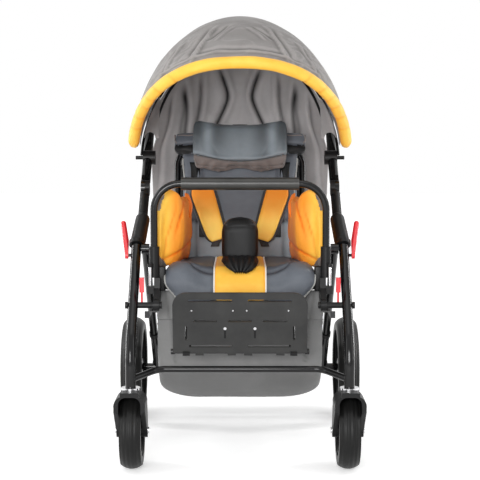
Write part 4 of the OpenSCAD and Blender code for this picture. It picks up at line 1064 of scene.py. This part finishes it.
def webLine(side):
    for k in range(11):
        x = harness["webX"] - 4 * sin(k / 10 * pi)
        yield backAt(side * x, harness["webFrom"] + harness["webLong"] * k / 10, harness["webN"] + 1.0)


def tailLine(side):
    for k in range(6):
        x, w = harness["tailX"] + 1.6 * k, harness["tailFrom"] - 4.4 * k
        yield backAt(side * x, w, harness["n"] + 6 - 0.4 * k)


def buckleMesh(side):
    bm = bmesh.new()
    bmesh.ops.create_cube(bm, size=1.0)
    front = max(bm.faces, key=lambda f: -f.calc_center_median().y)
    bmesh.ops.inset_region(bm, faces=[front], thickness=0.22, depth=-0.2)
    bevelAll(bm, 0.06, 2)
    x, w = side * buckle["x"], buckle["w"]
    middle = backPlace(castOn(backTree, backAt(x, w, 140), backAt(x, w, 0)))[2] + buckle["deep"] / 2 - 1
    for v in bm.verts:
        v.co = backAt(
            x + v.co.x * buckle["wide"], w + v.co.z * buckle["tall"], middle - v.co.y * buckle["deep"])
    return bm


for side, word in bothSides:
    pad = finishPiece(
        f"harnessPad{word}", padMesh((16, 40), harnessShape(side)), [padCloth], "back",
        ["harness_pads"])
    roundOff(pad)
    sew(pad, harnessShade, backPlace)
    binding = tubeMesh(list(bindingLine(side)), harness["bindingD"] / 2, closed=True)
    finishPiece(f"harnessBinding{word}", binding, [bindingCloth], "back")
    web = ribbonMesh(webLine(side), harness["webWide"] / 2000, harness["webThick"])
    strap = finishPiece(
        f"harnessWebbing{word}", web, [blackCloth], "back", ["harness_webbing"])
    tail = ribbonMesh(tailLine(side), harness["tailWide"] / 2000, harness["tailThick"])
    end = finishPiece(f"harnessTail{word}", tail, [bindingCloth], "back")
    finishPiece(f"harnessBuckle{word}", buckleMesh(side), [mouldedBlack], "back")
print("harness sewn")

# side panels: soft orange cloth, plump at the front and turning back along the seat, with taupe corner tabs

panel = {
    "front": (209, 149), "turn": (168, 186), "turnAt": 0.4, "rear": (146, 413), "thick": 12, "high": 642,
    "peak": 24, "lean": 8, "soft": (0.0045, 3.5, 0.006), "flapSkin": 0.0014,
}


def panelLine(u):
    front, turn, rear = (Vector(panel[k]) for k in ("front", "turn", "rear"))
    if u < panel["turnAt"]:
        a = u / panel["turnAt"] * pi / 2
        return Vector((mix(turn.x, front.x, cos(a)), mix(front.y, turn.y, sin(a))))
    return turn.lerp(rear, (u - panel["turnAt"]) / (1 - panel["turnAt"]))


def panelShape(u, v, under):
    p = panelLine(u)
    way = (panelLine(min(1, u + 0.03)) - panelLine(max(0, u - 0.03))).normalized()
    low = seatTop(p.y) + 2 - 8 * (1 - ease(u / panel["turnAt"]))
    top = panel["high"] + 14 * u + panel["peak"] * hump(u, 0.3, 0.16) - 26 * ease((u - 0.72) / 0.28)
    free = sin(pi * v)
    half = panel["thick"] / 2 * (0.5 + 0.9 * (free * sin(pi * (0.1 + 0.8 * u))) ** 0.6)
    fold = (3 * sin(9 * u - 3 * v) + 5 * wobble(u * 4, v * 2.4, 3.0)) * free
    bulge = 11 * hump(u, 0.55, 0.3) * free ** 0.7
    p += Vector((way.y, -way.x)) * (half * (-1 if under else 1) - fold - bulge)
    return at(p.x - panel["lean"] * v, p.y, mix(low, top, v))


# sink depth and painted shade: painted shade in the creases, over the part that turns back along the seat and
# in a band low on the panel; the orange cloth's shade tone is a deep red-orange
def panelFolds(x, y, z):
    s = abs(x)
    drape = s + 0.25 * (z - 560) + 8 * wobble(y / 50, z / 45, 1.9)
    crease = hump(drape, 178, 2.6) * hump(z, 560, 55) + hump(drape, 160, 2.6) * hump(z, 600, 40)
    crease += hump(z + 0.5 * (s - 180), 500, 3.5) * ease((200 - s) / 14)
    turned = max(ease((y - 162) / 44), 0.8 * ease((188 - s) / 30))
    return 3 * crease, 0.55 * crease + 0.78 * turned + 0.3 * hump(z, 480, 16)


def isTab(x, y, z):
    upper = z > 620 and abs(x) > 198 - 0.25 * (z - 620)
    lower = z < 512 and abs(x) > 180 + 0.6 * (z - 474)
    return upper or lower


def flapShape(u, v):
    gape = sin(pi * v) ** 0.7
    x = 141 - 17 * gape * (0.55 + 0.45 * sin(pi * u)) + 4 * u
    return at(x, 352 - 26 * (v - 0.5) - 22 * gape * (1 - u), 590 + 52 * u + 12 * v * u)


for side, word in bothSides:
    cloth = finishPiece(
        f"sidePanel{word}", padMesh((44, 30), mirrored(panelShape, side)), [orangeCloth, taupeCloth], "seat",
        [f"side_panel_{word.lower()}"])
    plump(cloth, panel, panelFolds, buggyPlace)
    for f in cloth.data.polygons:
        f.material_index = int(isTab(*buggyPlace(f.center)))
    flap, flapArea = clothPiece(
        f"panelFlap{word}", (10, 14), mirrored(flapShape, side), (0.06, 0.05), orangeInPaintedShade, "seat",
        (), panel["flapSkin"])
    min(flapArea, 0.0042)
print("side panels sewn")

# pommel: boxy black cloth cover, its tail gathered over the seat's front edge

pommelPad = {
    "y": 200, "wide": 96, "deep": 74, "high": 122, "power": 2 / 3, "gathers": 9, "skin": 2,
    "soft": (0.0045, 4.0, 0.004), "tailHalf": 45, "tailSkin": 0.0016, "tailGathers": 17,
}
pommelBase = seatTop(pommelPad["y"]) + seat["crown"] + 2


def pommelMesh():
    bm = bmesh.new()
    bmesh.ops.create_uvsphere(bm, u_segments=44, v_segments=32, radius=1.0)
    for v in bm.verts:
        rise = acos(max(-1, min(1, -v.co.z))) / pi
        turn = atan2(v.co.y, v.co.x)
        h = max(0.0, (rise - 0.05) / 0.95)
        close = sqrt(max(0.0, 1 - max(0.0, (h - 0.66) / 0.34) ** 2.5)) if rise < 0.999 else 0.0
        if rise < 0.08:
            close *= rise / 0.08
        tuck = 1 - 0.07 * (1 - ease(4 * h)) * (1 + cos(pommelPad["gathers"] * turn)) / 2
        size = (0.78 + 0.22 * ease(5 * h)) * close * tuck
        x, y = rounded(turn, pommelPad["power"])
        v.co = at(
            (pommelPad["wide"] / 2 - pommelPad["skin"]) * x * size,
            pommelPad["y"] + (pommelPad["deep"] / 2 - pommelPad["skin"]) * y * size,
            pommelBase + pommelPad["high"] * h * 0.98 + 1)
    return bm


# sink depth and painted shade in the ring seam and the gathers at the foot
def pommelSeams(x, y, z):
    s = abs(x)
    h = (z - pommelBase) / pommelPad["high"]
    ring = hump(h, 0.8 - 0.05 * (s / 48) ** 2, 0.018) * ease((215 - y) / 20)
    foot = ease((0.3 - h) / 0.3) * (0.5 + 0.5 * sin(s / 3.2 + 3 * wobble(x / 20, z / 16, 0.2)))
    return 1.4 * ring + 2 * foot, 0.6 * ring + 0.5 * foot


pommel = finishPiece("pommelPad", pommelMesh(), [blackCloth], "pommel", ["pommel"])
plump(pommel, pommelPad, pommelSeams, buggyPlace)


def tailShape(u, v):
    edge = 2 * u - 1
    half = pommelPad["tailHalf"] * sqrt(max(0.0, 1 - (0.97 * v) ** 3))
    gather = sin(edge * pommelPad["tailGathers"])
    lift = 6 + 34 * (1 - v) ** 0.7 * sqrt(max(0.0, 1 - 0.85 * edge ** 4)) + 2.4 * gather * ease(1.6 * v)
    # painted shade in the gathers' valleys, growing towards the tail's end
    return overSeat(half * edge, seatRun - 22 + 52 * v, lift), 0.3 * ease(v) * (0.5 - 0.5 * gather)


pommelTail, tailArea = clothPiece(
    "pommelTail", (60, 24), tailShape, (0.08, 0.06), blackCloth, "pommel", (),
    pommelPad["tailSkin"])
max(0.003, min(tailArea, 0.0099))
print("pommel sewn")

# basket: one sagging bag, its floor turning up into the front wall, with side folds

basket = {
    "wide": 416, "floor": 122, "corner": (100, 40), "bend": 130, "front": 168, "rear": 548, "topFront": 380,
    "topRear": 200, "inset": 1.5, "cells": (96, 96), "skin": 0.002,
}
basketFloor = basket["floor"] + basket["inset"]
cornerWide, cornerHigh = basket["corner"]
basketFlat = basket["wide"] / 2 - basket["inset"] - cornerWide
basketTurn = 0.5 * pi * sqrt((cornerWide * cornerWide + cornerHigh * cornerHigh) / 2)


def basketSection(s):
    # s runs out from the middle of the floor, round the corner and up the side
    d = abs(s)
    a = min(1.0, max(0.0, (d - basketFlat) / basketTurn)) * pi / 2
    x = min(d, basketFlat) + cornerWide * sin(a)
    return copysign(x, s), basketFloor + cornerHigh * (1 - cos(a)) + max(0.0, d - basketFlat - basketTurn)


def basketTop(y):
    share = (y - basket["front"]) / (basket["rear"] - basket["front"])
    return mix(basket["topFront"], basket["topRear"], share)


def basketShape(u, v):
    # v runs down the front wall, round the bend, along the floor and up the rear wall
    r, front, rear = basket["bend"], basket["front"] + basket["inset"], basket["rear"] - basket["inset"]
    down = basket["topFront"] - basketFloor - r
    arc = r * pi / 2
    along = rear - front - r
    d = (down + arc + along + basketTop(rear) - basketFloor) * v
    if d < down:
        y, lift = front, basket["topFront"] - d - basketFloor
    elif d < down + arc:
        a = (d - down) / r
        y, lift = front + r - r * cos(a), r - r * sin(a)
    elif d < down + arc + along:
        y, lift = front + r + d - down - arc, 0.0
    else:
        y, lift = rear, d - down - arc - along
    top = basketTop(y) - 1
    reach = basketFlat + basketTurn + max(0.0, top - basketFloor - lift - cornerHigh)
    x, z = basketSection((2 * u - 1) * reach)
    z = min(top, lift + z)
    sag = 5 * wobble(x / 90, y / 70 + z / 80, 0.7)
    crease = 0.0
    if y - front < 3:
        crease = hump(abs(x), 176 - 0.08 * (380 - z), 4)
        y += sag - 4 * crease
    # painted shade in the front wall's creases and over the bag's lower part
    return at(x, y, max(basketFloor, z + 0.2 * sag)), 0.5 * crease + 0.55 * ease((240 - z) / 90)


basketBag, basketArea = clothPiece(
    "basketBag", basket["cells"], basketShape, (0.9, 0.9), basketCloth, "front_frame",
    ["basket"], basket["skin"])
min(basketArea, 0.8)

# straps from the basket's front corners to the pivots, each three boxes from a low corner to a high one

straps = {
    "boxes": (
        ((204, 172, 361), (220, 184, 363)), ((220, 74.7, 361), (232, 184, 363)),
        ((220, 74.7, 363), (232, 76.7, 378)),
    ),
}
for side, word in bothSides:
    bm = bmesh.new()
    for ends in straps["boxes"]:
        boxInto(bm, *((side * x, y, z) for x, y, z in ends))
    tie = finishPiece(
        f"basketStrap{word}", bm, [bindingCloth], "front_frame", ["basket"], smooth=False)

# cloth apron under the seat's front rail

apron = {"half": 207, "y": 162, "low": 346, "high": 419, "flat": (0.42, 0.08), "skin": 0.0016}


def apronShape(u, v):
    x = apron["half"] * (2 * u - 1)
    fold = 2.5 * wobble(x / 40, v * 2, 0.9) * (1 - v)
    crease = hump(abs(x), 186 - 10 * (1 - v), 4)
    # painted shade in the crease
    return at(x, apron["y"] + fold + 2 * crease, mix(apron["low"], apron["high"], v)), 0.4 * crease


apronCloth, apronArea = clothPiece(
    "seatApron", (90, 16), apronShape, apron["flat"], basketCloth, "seat", (), apron["skin"])
min(apronArea, 0.0336)
print("basket sewn", round(basketArea, 3))

# footplate fittings: screws, two bright bolts over short slots, and knobs under the lower edge

plate = {
    "y": 62, "z": 281, "lean": 15, "face": -12.5, "screws": ((-116, 113), (116, 113), (-17, 113), (16, 113)),
    "bolts": ((-36, 67), (36, 67)), "slots": ((-36, 52), (36, 52)), "knobs": ((-130, 1), (130, 1)),
}


def plateAt(x, out, up):
    return leanedAt(plate, x, plate["face"] - out, up, plate["lean"])


def fittingMesh(places, size, turned):
    bm = bmesh.new()
    for x, up in places:
        if turned:
            made = bmesh.ops.create_cone(bm, cap_ends=True, segments=20, radius1=1.0, radius2=0.86, depth=1.0)
        else:
            made = bmesh.ops.create_cube(bm, size=1.0)
        sunk = 0.5 if turned else 0.4
        for v in made["verts"]:
            v.co = plateAt(x + v.co.x * size[0], (v.co.z + 0.5) * size[2] - sunk, up + v.co.y * size[1])
    return bm


for name, size, turned, mat in (
        ("Screws", (2.2, 2.2, 1.4), True, brightPlate), ("Bolts", (4.2, 4.2, 3.0), True, brightPlate),
        ("Slots", (5, 22, 0.9), False, mouldedBlack), ("Knobs", (17, 9, 5), False, mouldedBlack)):
    finishPiece(
        f"plate{name}", fittingMesh(plate[name.lower()], size, turned), [mat], "footplate",
        smooth=False)
print("footplate fitted")
